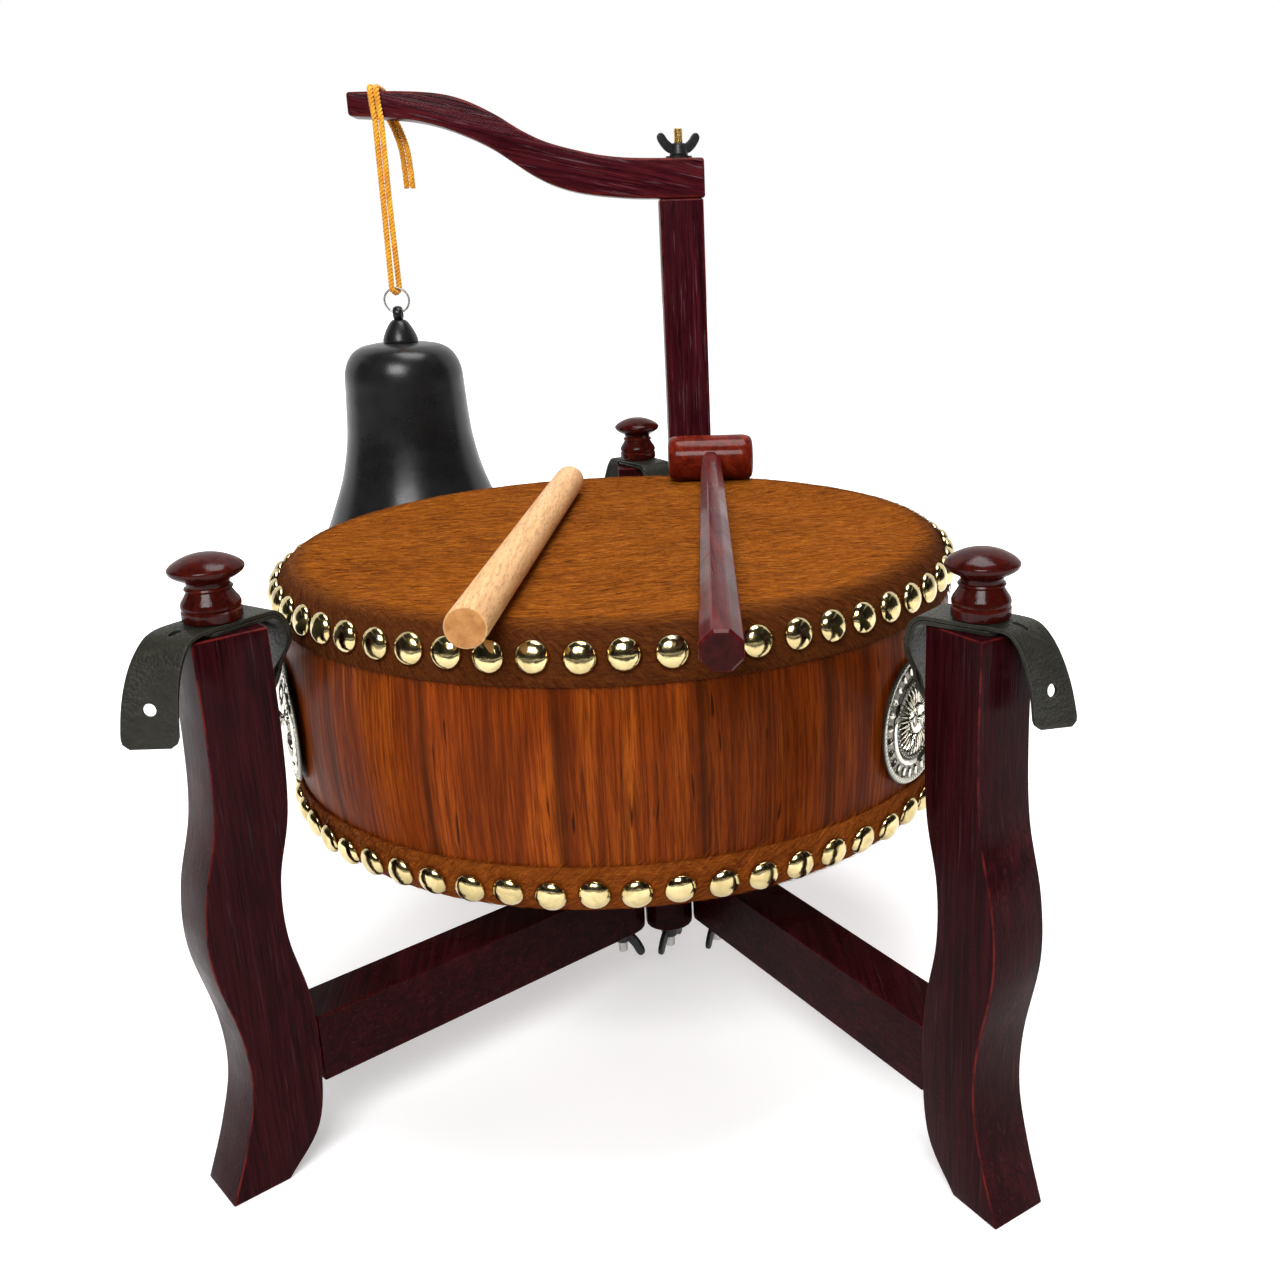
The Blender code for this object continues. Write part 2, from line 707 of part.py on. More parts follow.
def make_hub():
    ends = [hub_bolt_place("right"), hub_bolt_place("left")]
    outline = []
    for k, end in enumerate(ends):
        start = HUB_TURN - math.pi / 2 + math.pi * k
        for step in range(9):
            angle = start + math.pi * step / 8
            spot = end + HUB_PLATE_HALF * Vector((math.cos(angle), math.sin(angle), 0.0))
            outline.append((spot.x, spot.y))
    top = RAIL_BOTTOM + RAIL_HEIGHT
    matrix = Matrix.Translation(place(Vector(), top - HUB_PLATE / 2))
    plate = add("hub_plate", flat_outline(outline, HUB_PLATE), "lacquer", matrix)
    for side in SIDES:
        spot = hub_bolt_place(side)
        drill([plate], place(spot, 0.02), place(spot, 0.1), HUB_BOLT + BOLT_CLEARANCE, 12)
        head = top + GAP
        shank = [(HUB_BOLT, 0.0), (HUB_BOLT, HUB_BOLT_END - head), (0.0, HUB_BOLT_END - head)]
        turned("hub_bolt_" + side, BOLT_HEAD + shank, "steel", Matrix.Translation(place(spot, head)), 12)
        washer_top = RAIL_BOTTOM - GAP
        washer = [
            (WASHER_RADIUS, 0.0),
            (WASHER_RADIUS, -WASHER),
            (HUB_BOLT + BOLT_CLEARANCE, -WASHER),
            (HUB_BOLT + BOLT_CLEARANCE, 0.0),
        ]
        matrix = Matrix.Translation(place(spot, washer_top))
        turned("hub_washer_" + side, washer, "black_steel", matrix, 14, closed=True)
        nut_top = washer_top - WASHER - GAP
        spin = {"left": 35.0, "back": -62.0, "right": 118.0}[side]
        down = Matrix.Translation(place(spot, nut_top)) @ Matrix.Rotation(math.pi, 4, "X")
        make_wing_nut("hub_wing_nut_" + side, down @ Matrix.Rotation(math.radians(spin), 4, "Z"), HUB_BOLT)


def make_wing_nut(name, matrix, bolt):
    """Seated on z = 0 with its wings rising along Z. Its origin is on the thread."""
    body = [(bolt + 0.0022, 0.0088), (bolt + 0.0034, 0.0)]
    bore = [(bolt + BOLT_CLEARANCE, 0.0), (bolt + BOLT_CLEARANCE, 0.0088)]
    nut = turned(name, body + bore, "black_steel", matrix, 14, closed=True)
    right = [
        (0.0046, 0.0012), (0.0090, 0.0026), (0.0130, 0.0062), (0.0160, 0.0108), (0.0163, 0.0142),
        (0.0140, 0.0162), (0.0112, 0.0152), (0.0082, 0.0112), (0.0046, 0.0078),
    ]
    for turn in (0.0, math.pi):
        wing = flat_outline(right, 0.0028)
        stand = matrix @ Matrix.Rotation(turn, 4, "Z") @ Matrix.Rotation(math.pi / 2, 4, "X")
        cut(nut, wing, stand, "UNION")
    return nut


def make_knob(side):
    """A turned wooden knob. Its origin is on its stud."""
    bore = [(KNOB_STUD + BOLT_CLEARANCE, 0.0), (KNOB_STUD + BOLT_CLEARANCE, KNOB_BORE), (0.0, KNOB_BORE)]
    seat = place(leg_place(side), KNOB_BASE)
    turned("knob_" + side, KNOB_OUTLINE + bore, "red_lacquer", Matrix.Translation(seat), 15)
    top = KNOB_BASE + KNOB_STUD_IN_KNOB
    bottom = LEG_HEIGHT - KNOB_STUD_IN_LEG
    stud = [(0.0, top), (KNOB_STUD, top), (KNOB_STUD, bottom), (0.0, bottom)]
    turned("knob_stud_" + side, stud, "steel", Matrix.Translation(place(leg_place(side), 0.0)), 12)


# Straps


def ring_hold(side, pulled_from):
    """(the ring's centre, the way it is pulled, the run of its wire there)"""
    along, across = ring_frame(side)
    centre = ring_centre(side)
    reach = pulled_from - centre
    pull = (across * reach.dot(across) + along * reach.dot(along)).normalized()
    return centre, pull, along.cross(across).cross(pull)


def strap_middle_rows(side):
    """(point, way across, curl) halfway between the strap's two layers, from the knob to the ring's wire."""
    knob = place(leg_place(side), 0.0)
    inwards = -STRAP_TAIL_PLAN[side].normalized()
    layer = LEG_HEIGHT + GAP + STRAP + GAP / 2
    flat_way = UP.cross(inwards)
    over_edge = [(0.0, 0.0)] + [(LEG_WIDTH / 2 + beyond, drop) for beyond, drop in STRAP_OVER_EDGE]
    rows = [(knob + inwards * reach + UP * (layer + drop), flat_way, 0.0) for reach, drop in over_edge]
    edge = rows[-1][0]
    centre, pull, wire = ring_hold(side, edge)
    hold = centre + pull * RING_RADIUS
    if wire.dot(flat_way) < 0:
        wire = -wire
    length = (edge - hold).length
    for reach, curl in [(length * 0.65, 0.0)] + STRAP_CURL:
        share = 1.0 - reach / length
        way = flat_way.lerp(wire, min(1.0, share * 1.2)).normalized()
        rows.append((edge.lerp(hold, share), way, curl))
    return rows, (centre, pull)


def over_width(row, ring, half):
    """Four points across the strap. Near the ring they follow its wire round."""
    point, across, curl = row
    centre, pull = ring
    reach = (point - centre).dot(pull)
    found = []
    for share in (-1.0, -1 / 3, 1 / 3, 1.0):
        offset = half * share
        angle = offset / RING_RADIUS
        curved = (across * math.sin(angle) + pull * (math.cos(angle) - 1.0)) * reach
        found.append(point + (across * offset).lerp(curved, curl))
    return found


def strap_rows(side):
    """All the strap's rows, from its end under the knob, round the ring's wire and back over to its tail."""
    middle, ring = strap_middle_rows(side)
    apart = (STRAP + GAP) / 2
    turn_radius = RING_WIRE + STRAP_PLAY + STRAP / 2
    bent = len(STRAP_OVER_EDGE)
    last = len(middle) - 1
    lower = []
    upper = []
    for k, (point, way, curl) in enumerate(middle):
        tangent = (middle[min(k + 1, last)][0] - middle[max(k - 1, 0)][0]).normalized()
        across = (way - tangent * way.dot(tangent)).normalized()
        normal = tangent.cross(across)
        travelled = (middle[bent][0] - point).length / (middle[bent][0] - middle[last][0]).length
        spread = apart + (turn_radius - apart) * travelled if k > bent else apart
        lower.append((point - normal * spread, across, curl))
        upper.append((point + normal * spread, across, curl))
    bend = []
    for degrees in (-45.0, 0.0, 45.0):
        angle = math.radians(degrees)
        offset = turn_radius * (tangent * math.cos(angle) + normal * math.sin(angle))
        bend.append((middle[last][0] + offset, across, 1.0))
    outwards = STRAP_TAIL_PLAN[side].normalized()
    under_end = (lower[0][0] + outwards * STRAP_END, lower[0][1], 0.0)
    rows = [under_end] + lower + bend + upper[::-1]
    start_way = rows[-1][1]
    end_way = STRAP_TAIL_ACROSS[side].normalized()
    if end_way.dot(start_way) < 0:
        end_way = -end_way
    tail_root = place(leg_place(side), STRAP_TOP_LAYER) + outwards * LEG_WIDTH / 2
    tail = smooth_through([rows[-1][0]] + [tail_root + Vector(p) for p in STRAP_TAIL[side]], 2)[1:]
    for k, point in enumerate(tail):
        share = ((k + 1) / len(tail)) ** 1.4
        rows.append((point, start_way.lerp(end_way, share).normalized(), 0.0))
    return rows, ring


def make_strap(side):
    rows, ring = strap_rows(side)
    builder = bmesh.new()
    grid = []
    for k, row in enumerate(rows):
        half = STRAP_HALF * (STRAP_POINT if k in (0, len(rows) - 1) else 1.0)
        grid.append([builder.verts.new(point) for point in over_width(row, ring, half)])
    for near, far in zip(grid, grid[1:]):
        for i in range(len(near) - 1):
            builder.faces.new((near[i], near[i + 1], far[i + 1], far[i]))
    strap = add("strap_" + side, mesh_from(builder), "leather")
    solid = strap.modifiers.new("Leather", "SOLIDIFY")
    solid.thickness = STRAP
    solid.offset = 0.0
    knob = place(leg_place(side), LEG_HEIGHT)
    drill([strap], knob - UP * STRAP, knob + UP * STRAP * 3.5, STRAP_HOLE, 12)
    for index in STRAP_SPARE_HOLE_ROWS:
        spot, across, _ = rows[index]
        tangent = rows[index + 1][0] - rows[index - 1][0]
        through = tangent.cross(across).normalized() * STRAP * 2
        drill([strap], spot - through, spot + through, STRAP_SPARE_HOLE, 10)


def make_stand():
    for side in SIDES:
        legs[side] = make_leg(side)
        make_rail(side)
        make_knob(side)
        make_strap(side)
    make_hub()


# Bell post and arm


def post_place():
    leg = leg_place("back")
    aside = LEG_WIDTH / 2 + SIDE_GAP + PACKER + GAP + POST_WIDTH / 2
    return leg + Vector((aside, POST_BEHIND_LEG, 0.0))


def make_post():
    leg = leg_place("back")
    size = Vector((POST_WIDTH, POST_DEPTH, POST_TOP - POST_BOTTOM))
    matrix = Matrix.Translation(place(post_place(), (POST_TOP + POST_BOTTOM) / 2))
    post = bevelled(add("bell_post", block(size), "lacquer", matrix), LEG_EDGE)
    size = Vector((PACKER, PACKER_DEPTH, PACKER_HEIGHT))
    middle = leg + Vector((LEG_WIDTH / 2 + SIDE_GAP + PACKER / 2, 0.0, 0.0))
    matrix = Matrix.Translation(place(middle, PACKER_TOP - PACKER_HEIGHT / 2))
    packer = add("post_packer", block(size), "lacquer", matrix)
    bolt_line = post_place() - Vector((0.0, POST_BOLT_OFF_MIDDLE, 0.0))
    for name, below in POST_BOLT_BELOW_TOP.items():
        z = LEG_HEIGHT - below
        head = place(Vector((leg.x - LEG_WIDTH / 2 - SIDE_GAP, bolt_line.y, 0.0)), z)
        nut = place(Vector((bolt_line.x + POST_WIDTH / 2 + GAP, bolt_line.y, 0.0)), z)
        length = nut.x - head.x + POST_NUT + 0.0015
        shank = [(POST_BOLT, 0.0), (POST_BOLT, -length), (0.0, -length)]
        left = Vector((-1.0, 0.0, 0.0))
        turned("post_bolt_" + name, BOLT_HEAD + shank, "steel", facing(head, left), 12)
        matrix = facing(nut, -left)
        nut_object = add("post_nut_" + name, cylinder(POST_NUT_RADIUS, 0.0, POST_NUT, 6), "steel", matrix)
        before = head + left * 0.001
        beyond = nut - left * (POST_NUT + 0.001)
        drill([legs["back"], post, packer, nut_object], before, beyond, POST_BOLT + BOLT_CLEARANCE, 12)
    return post


def make_arm(post):
    """The arm's origin is on its stud, where it swivels."""
    outline = smooth_through([(x, z, 0.0) for x, z in ARM_OVER], 2)
    outline += smooth_through([(x, z, 0.0) for x, z in ARM_UNDER], 2)
    mesh = flat_outline([(point.x, point.y + ARM_SEAT) for point in outline], ARM_DEPTH)
    mesh.transform(Matrix.Rotation(math.pi / 2, 4, "X"))
    pivot = place(post_place(), 0.0)
    arm = bevelled(add("bell_arm", mesh, "lacquer", Matrix.Translation(pivot)), 0.0018)
    washer_seat = ARM_SEAT + ARM_OVER[-1][1] + GAP
    top = washer_seat + ARM_STUD_OVER_ARM
    bottom = POST_TOP - ARM_STUD_IN_POST
    stud = [(0.0, top), (ARM_STUD, top), (ARM_STUD, bottom), (0.0, bottom)]
    turned("arm_stud", stud, "steel", Matrix.Translation(pivot), 12)
    drill([post, arm], pivot + UP * (bottom - GAP), pivot + UP * top, ARM_STUD + BOLT_CLEARANCE, 12)
    bore = ARM_STUD + BOLT_CLEARANCE
    washer = [(0.0100, ARM_WASHER), (0.0100, 0.0), (bore, 0.0), (bore, ARM_WASHER)]
    matrix = Matrix.Translation(pivot + UP * washer_seat)
    turned("arm_washer", washer, "black_steel", matrix, 16, closed=True)
    nut_seat = Matrix.Translation(pivot + UP * (washer_seat + ARM_WASHER + GAP))
    make_wing_nut("arm_wing_nut", nut_seat @ Matrix.Rotation(math.radians(12), 4, "Z"), ARM_STUD)


# Bell


def bell_place():
    return place(post_place() + BELL_FROM_POST, 0.0)


def bell_inside():
    """The outline moved in by the wall, from the mouth up."""
    points = [Vector((radius, BELL_TOP - below)) for radius, below in BELL_OUTSIDE]
    inside = []
    for k in range(len(points) - 2, -1, -2):
        run = points[k + 1] - points[max(k - 1, 0)]
        moved = points[k] - Vector((-run.y, run.x)).normalized() * BELL_WALL
        inside.append((moved.x, moved.y))
    return inside


def make_bell():
    """Its origin is on its axis, under where it hangs."""
    hang = bell_place()
    bore = CROWN_SHANK + BOLT_CLEARANCE
    mouth = BELL_TOP - BELL_HEIGHT
    outside = [(bore, BELL_TOP)] + [(radius, BELL_TOP - below) for radius, below in BELL_OUTSIDE]
    lip_radius = BELL_OUTSIDE[-1][0] - BELL_LIP
    lip = [(lip_radius, mouth), (lip_radius - BELL_WALL + 2 * BELL_LIP, mouth)]
    under = BELL_TOP - BELL_WALL
    outline = outside + lip + bell_inside() + [(BELL_OUTSIDE[0][0], under), (bore, under)]
    turned("bell", outline, "black_paint", Matrix.Translation(hang), 22, closed=True)
    base = BELL_TOP + GAP
    shank_end = BELL_TOP - CROWN_SHANK_LENGTH
    crown = [
        (0.0, CROWN_TOP), (0.0040, CROWN_TOP), (0.0082, CROWN_TOP - 0.0038), (0.0115, CROWN_TOP - 0.0103),
        (CROWN_RADIUS, base), (CROWN_SHANK, base), (CROWN_SHANK, shank_end), (0.0, shank_end),
    ]
    crown_object = turned("bell_crown", crown, "black_paint", Matrix.Translation(hang), 16)
    eye = facing(hang + UP * CROWN_EYE_Z, Vector((1.0, 0.0, 0.0)))
    cut(crown_object, torus(CROWN_EYE_RADIUS, CROWN_EYE_WIRE, 12, 6), eye, "UNION")
    nut_top = under - GAP
    matrix = Matrix.Translation(hang + UP * (nut_top - CROWN_NUT))
    nut = add("crown_nut", cylinder(CROWN_NUT_RADIUS, 0.0, CROWN_NUT, 6), "black_steel", matrix)
    drill([nut], hang + UP * (nut_top - 2 * CROWN_NUT), hang + UP * (nut_top + 0.001), bore, 12)
    ring = facing(hang + UP * SPLIT_RING_Z, Vector((0.0, 1.0, 0.0)))
    add("split_ring", torus(SPLIT_RING_RADIUS, SPLIT_RING_WIRE, 18, 6), "steel", ring)


def make_cord():
    """Doubled cord: two strands down to the split ring, and over the arm to a pair of hanging tails."""
    hang = bell_place()
    cut_z = ARM_TIP_TOP + CORD_CUT
    wire_top = SPLIT_RING_Z + SPLIT_RING_RADIUS
    loop = SPLIT_RING_WIRE + CORD + GAP
    middle = (cut_z + wire_top) / 2
    front = [
        hang + Vector((-CORD_SPREAD, -CORD_OFF_AXIS, cut_z)),
        hang + Vector((-CORD_SPREAD, -CORD_OFF_AXIS, cut_z - 0.012)),
        hang + Vector((-CORD_SPREAD * 0.9, -CORD_OFF_AXIS, middle)),
        hang + Vector((-CORD_SPREAD * 0.3, -loop, wire_top + 0.012)),
    ]
    bend = []
    for step in range(5):
        angle = math.pi + math.pi * step / 4
        bend.append(hang + Vector((0.0, math.cos(angle) * loop, wire_top + math.sin(angle) * loop)))
    behind = [
        hang + Vector((CORD_SPREAD * 0.3, loop, wire_top + 0.012)),
        hang + Vector((CORD_SPREAD * 0.9, -CORD_OFF_AXIS, middle)),
        hang + Vector((CORD_SPREAD, -CORD_OFF_AXIS, cut_z - 0.012)),
        hang + Vector((CORD_SPREAD, -CORD_OFF_AXIS, cut_z)),
    ]
    tube("cord_drop", smooth_through(front + bend + behind, 2), CORD, "cord")
    route = smooth_through(CORD_HITCH_ROUTE, 2)
    for name, shift in (("cord_hitch_outer", Vector()), ("cord_hitch_inner", CORD_TAIL_SHIFT)):
        tube(name, [hang + UP * ARM_TIP_TOP + point + shift for point in route], CORD, "cord")


# Stick and mallet


def head_face():
    return DRUM_MIDDLE_Z + SHELL_HALF_HEIGHT + GAP + HIDE


def make_stick():
    z = head_face() + GAP + STICK_RADIUS
    near = place(STICK_NEAR, z)
    far = place(STICK_FAR, z)
    length = (far - near).length
    mesh = cylinder(STICK_RADIUS, 0.0, length, 20)
    bevelled(add("drum_stick", mesh, "beech", facing(near, far - near)), 0.0015)


def make_mallet():
    z = head_face() + GAP + MALLET_HEAD_RADIUS
    centre = place(MALLET_HEAD_PLACE, z)
    near = place(MALLET_NEAR, head_face() + MALLET_NEAR_ABOVE_HEAD)
    way = (centre - near).normalized()
    length = (centre - near).length + MALLET_HEAD_RADIUS - 0.0015
    side = way.cross(UP).normalized()
    half = MALLET_HEAD_LENGTH / 2
    turn = Matrix.Rotation(math.pi / 8, 4, "Z")
    handle = cylinder(MALLET_NEAR_RADIUS, 0.0, length, 8, MALLET_NECK_RADIUS)
    stand = facing(near, way, side)
    bevelled(add("mallet_handle", handle, "red_lacquer", stand @ turn), 0.0008)
    head = add("mallet_head", cylinder(MALLET_HEAD_RADIUS, -half, half, 24), "red_lacquer", facing(centre, side))
    bevelled(head, 0.003)
    fit = GAP + 0.0001
    past = 1.2
    hole_end = MALLET_NEAR_RADIUS + fit - (MALLET_NEAR_RADIUS - MALLET_NECK_RADIUS) * past
    hole = cylinder(MALLET_NEAR_RADIUS + fit, 0.0, length * past, 8, hole_end)
    cut(head, hole, stand @ turn)


clear_scene()
parts = new_collection("drum_with_bell_stand")
cutters = new_collection("cutters")
cutters.hide_render = True
legs = {}
make_drum()
make_stand()
make_arm(make_post())
make_bell()
make_cord()
make_stick()
make_mallet()
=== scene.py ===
import math
import random

import bmesh
import bpy
from mathutils import Matrix, Vector


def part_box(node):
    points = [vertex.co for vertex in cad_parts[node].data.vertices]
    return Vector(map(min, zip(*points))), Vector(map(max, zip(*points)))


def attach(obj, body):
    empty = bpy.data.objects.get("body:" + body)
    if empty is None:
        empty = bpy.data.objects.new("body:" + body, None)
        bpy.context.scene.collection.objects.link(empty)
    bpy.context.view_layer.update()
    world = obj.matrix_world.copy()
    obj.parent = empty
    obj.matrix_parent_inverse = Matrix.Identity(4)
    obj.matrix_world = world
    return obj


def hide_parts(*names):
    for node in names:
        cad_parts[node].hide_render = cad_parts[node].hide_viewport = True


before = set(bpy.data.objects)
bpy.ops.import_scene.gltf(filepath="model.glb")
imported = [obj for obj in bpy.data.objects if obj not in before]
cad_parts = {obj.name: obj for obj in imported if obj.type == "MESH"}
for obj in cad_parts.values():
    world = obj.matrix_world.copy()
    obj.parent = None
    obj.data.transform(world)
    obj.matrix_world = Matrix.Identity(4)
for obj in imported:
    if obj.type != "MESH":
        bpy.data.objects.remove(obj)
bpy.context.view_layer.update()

UP = Vector((0.0, 0.0, 1.0))
SIDES = ("left", "right", "back")
DRUM_AXIS = Vector((0.0147, -0.0181, 0.0))

# Drum, its heights measured from its middle
SHELL_RADIUS = 0.203
SHELL_TAPER = 0.0075
SHELL_HALF_HEIGHT = 0.0745
SHELL_WALL = 0.014
DRUM_MIDDLE_Z = 0.2240
STAVES = 18
STAVE_FACES = 14
STAVE_GROOVE = 0.00028
SHELL_BEVEL_Z = 0.066
HIDE = 0.0018
HIDE_GAP = 0.0003
HIDE_BAND = 0.0272
HAIR_TURNS_FROM = 0.178
HAIR_TURNS_OVER = 0.018
STUDS = 58
STUD_Z = 0.0624
STUD_RADIUS = 0.0085
STUD_HEIGHT = 0.0046
STUD_RIM = 0.0004

# Ring plates, pins and rings
PLATE_AZIMUTH = {"left": -160.0, "right": -40.0, "back": 80.0}
PLATE_Z = 0.218
PLATE_BACK = SHELL_RADIUS + 0.0003
EYE_REACH = 0.2140
EYE_RADIUS = 0.0056
EYE_WIRE = 0.0018
PIN_SHANK = 0.0022
PIN_CLENCH = 0.0016
PIN_CLENCH_GAP = 0.0021
PIN_CLENCH_REACH = 0.011
RING_RADIUS = 0.0175
RING_WIRE = 0.0022
RING_WIRE_SEEN = RING_WIRE * 0.95
RING_WELD_AT = 108
RING_WELD_SWELL = 0.09
RING_SLACK = 0.0013
RING_RISE = {"left": 74.0, "right": 55.0, "back": 78.0}

# Stand
LEG_HEIGHT = 0.300
LEG_WIDTH = 0.033
LEG_EDGE = 0.0009
LEG_AZIMUTH = {"left": -139.0, "right": -54.8, "back": 85.6}
LEG_REACH = {"left": 0.2559, "right": 0.2809, "back": 0.2453}
LEG_OUTSIDE = [
    (0.0405, 0.0), (0.0295, 0.10), (0.0222, 0.20), (0.0232, 0.307), (0.0318, 0.453),
    (0.0300, 0.567), (0.0208, 0.687), (0.0178, 0.817), (0.0176, 1.0),
]
LEG_INSIDE = [
    (-0.0188, 1.0), (-0.0186, 0.817), (-0.0160, 0.680), (-0.0080, 0.567), (-0.0074, 0.460),
    (-0.0142, 0.337), (-0.0152, 0.207), (-0.0095, 0.080), (0.0100, 0.0),
]
HUB_MIDDLE = Vector((0.0195, -0.0280, 0.0))
HUB_TURN = 5.0
HUB_PITCH = 0.031
HUB_BOLT_SPOT = {"left": -1, "back": 0, "right": 1}
HUB_NUT_TOP = 0.0446
HUB_NUT_SPIN = {"left": 35.0, "back": -62.0, "right": 118.0}
HUB_BOLT = 0.003
WING_THICKNESS = 0.0028

# Knobs and straps
KNOB_BASE = 0.3049
KNOB_BORE = 0.0034
KNOB_BORE_DEPTH = 0.0170
STRAP = 0.002
STRAP_GAP = 0.0003
STRAP_HALF = 0.0125
STRAP_OVER_EDGE = [(0.0050, 0.0), (0.0097, -0.0012), (0.0127, -0.0046), (0.0138, -0.0098)]
STRAP_CURL = [(0.0120, 0.2), (0.0070, 0.6), (0.0030, 1.0), (0.0, 1.0)]
STRAP_END = 0.013
STRAP_PLAY = 0.0006
STRAP_CORNER = 0.006
STRAP_EDGE = 0.0005
STRAP_POINTS_ACROSS = 13
STRAP_STUD_HOLE = 0.0036
STRAP_PUNCH = 0.0031
STRAP_SLIT = {"left": (0.0022, 0.0024), "right": (0.0046, 0.0017), "back": (0.0046, 0.0017)}
STRAP_TOP_LAYER = 0.3036
STRAP_TAIL_PLAN = {
    "left": Vector((-0.60, -0.80, 0.0)),
    "right": Vector((0.73, -0.68, 0.0)),
    "back": Vector((-0.478, 0.878, 0.0)),
}
STRAP_TAIL = {
    "left": [
        (0.0009, 0.0012, 0.0), (-0.0053, -0.0076, -0.0026), (-0.0106, -0.0143, -0.0146),
        (-0.0141, -0.0180, -0.0316), (-0.0161, -0.0193, -0.0501),
    ],
    "right": [
        (-0.0011, 0.0011, 0.0), (0.0051, -0.0035, -0.0026), (0.0109, -0.0071, -0.0131),
        (0.0151, -0.0101, -0.0286), (0.0174, -0.0123, -0.0461),
    ],
    "back": [
        (0.0007, -0.0013, 0.0), (-0.0035, 0.0063, -0.0022), (-0.0071, 0.0131, -0.0116),
        (-0.0111, 0.0204, -0.0286), (-0.0131, 0.0239, -0.0476),
    ],
}
STRAP_TAIL_ACROSS = {
    "left": Vector((0.97, 0.20, -0.10)),
    "right": Vector((0.93, 0.33, -0.10)),
    "back": Vector((-0.878, -0.478, 0.0)),
}

# Post, arm and bell: the arm's outlines run from the post's middle and from its seat on the post
POST_PLACE = Vector((0.0603, 0.2520, 0.0))
ARM_SEAT = 0.5000
ARM_DEPTH = 0.030
ARM_EDGE = 0.0022
POST_EDGE = 0.0016
ARM_OVER = [
    (-0.2370, 0.0765), (-0.2035, 0.0768), (-0.1739, 0.0750), (-0.1536, 0.0700), (-0.1330, 0.0602),
    (-0.1158, 0.0496), (-0.0982, 0.0413), (-0.0766, 0.0352), (-0.0555, 0.0310), (-0.0304, 0.0290),
    (0.0180, 0.0285),
]
ARM_UNDER = [
    (0.0180, 0.0), (-0.0255, 0.0002), (-0.0512, 0.0020), (-0.0755, 0.0053), (-0.0944, 0.0110),
    (-0.1093, 0.0185), (-0.1239, 0.0282), (-0.1384, 0.0378), (-0.1558, 0.0462), (-0.1759, 0.0535),
    (-0.1997, 0.0582), (-0.2370, 0.0605),
]
ARM_NUT_SEAT = 0.5306
ARM_NUT_SPIN = 12
ARM_BOLT = 0.0035
BELL_FROM_POST = Vector((-0.2157, -0.0154, 0.0))
ARM_TIP_TOP = ARM_SEAT + 0.0765
CORD = 0.0022
CORD_SPREAD = 0.0022
CORD_OFF_AXIS = 0.0020
CORD_CUT = -0.0190
PLY = 0.00106
PLY_PITCH = 0.0078
CORD_HITCH_ROUTE = [
    (-0.0022, -0.0020, CORD_CUT + 0.0003), (-0.0032, -0.0021, -0.0085), (-0.0036, -0.0020, -0.0010),
    (-0.0038, 0.0004, 0.0027), (-0.0038, 0.0134, 0.0032), (-0.0036, 0.0296, 0.0032),
    (-0.0028, 0.0332, -0.0013), (-0.0004, 0.0333, -0.0105), (0.0052, 0.0324, -0.0220),
    (0.0097, 0.0299, -0.0365), (0.0112, 0.0280, -0.0525), (0.0116, 0.0274, -0.0645),
]
CORD_TAIL_SHIFT = Vector((0.0043, 0.0, 0.0))
SPLIT_RING_RADIUS = 0.0090
SPLIT_RING_WIRE = 0.0010
SPLIT_RING_Z = 0.4318
SPLIT_RING_TURNS = 2.12
SPLIT_RING_RISE = 0.0015
CROWN_EYE_RADIUS = 0.0038
CROWN_EYE_WIRE = 0.0018
CROWN_EYE_Z = SPLIT_RING_Z - SPLIT_RING_RADIUS - 0.0006
CROWN_TOP = CROWN_EYE_Z - 0.0044
BELL_TOP = CROWN_TOP - 0.0166
BELL_OUTSIDE = [
    (0.0190, 0.0003), (0.0300, 0.0027), (0.0380, 0.0087), (0.0430, 0.0202), (0.0443, 0.0372),
    (0.0456, 0.0572), (0.0478, 0.0762), (0.0535, 0.1002), (0.0625, 0.1242), (0.0700, 0.1422),
    (0.0725, 0.1522),
]
BELL_HEIGHT = 0.1532
BELL_WALL = 0.0038
BELL_BORE = 0.0040
CROWN_BOLT = 0.0036
CROWN_BOLT_LENGTH = 0.0135

# Stick and mallet
HEAD_FACE_Z = 0.3006
STICK_RADIUS = 0.010
STICK_ROUNDING = 0.0014
STICK_NEAR = Vector((-0.0693, -0.2255, 0.0))
STICK_FAR = Vector((-0.0320, 0.1300, 0.0))
MALLET_HEAD_RADIUS = 0.0165
MALLET_HEAD_LENGTH = 0.062
MALLET_ROUNDING = 0.0028
MALLET_HEAD_PLACE = Vector((0.0700, 0.1580, 0.0))
MALLET_NEAR = Vector((0.0398, -0.2715, 0.0))
MALLET_NEAR_Z = 0.3085
MALLET_NEAR_RADIUS = 0.0103
MALLET_NECK_RADIUS = 0.0072


# Camera, light and floor


def linked(obj):
    """The same object, put into the scene."""
    bpy.context.scene.collection.objects.link(obj)
    return obj


def set_camera():
    """Where the photograph was taken from, 0.77 m in front of the drum's axis and a little above the drum."""
    data = bpy.data.cameras.new("camera")
    data.lens = 36.0
    data.sensor_width = 36.0
    data.shift_x = -0.0860
    data.shift_y = -0.0053
    data.clip_start = 0.01
    right = Vector((0.993745, -0.109427, -0.022272))
    above = Vector((0.053766, 0.294048, 0.954277))
    camera = linked(bpy.data.objects.new("camera", data))
    matrix = Matrix((right, above, right.cross(above))).transposed().to_4x4()
    matrix.translation = (0.0147, -0.7921, 0.4737)
    camera.matrix_world = matrix
    bpy.context.scene.camera = camera


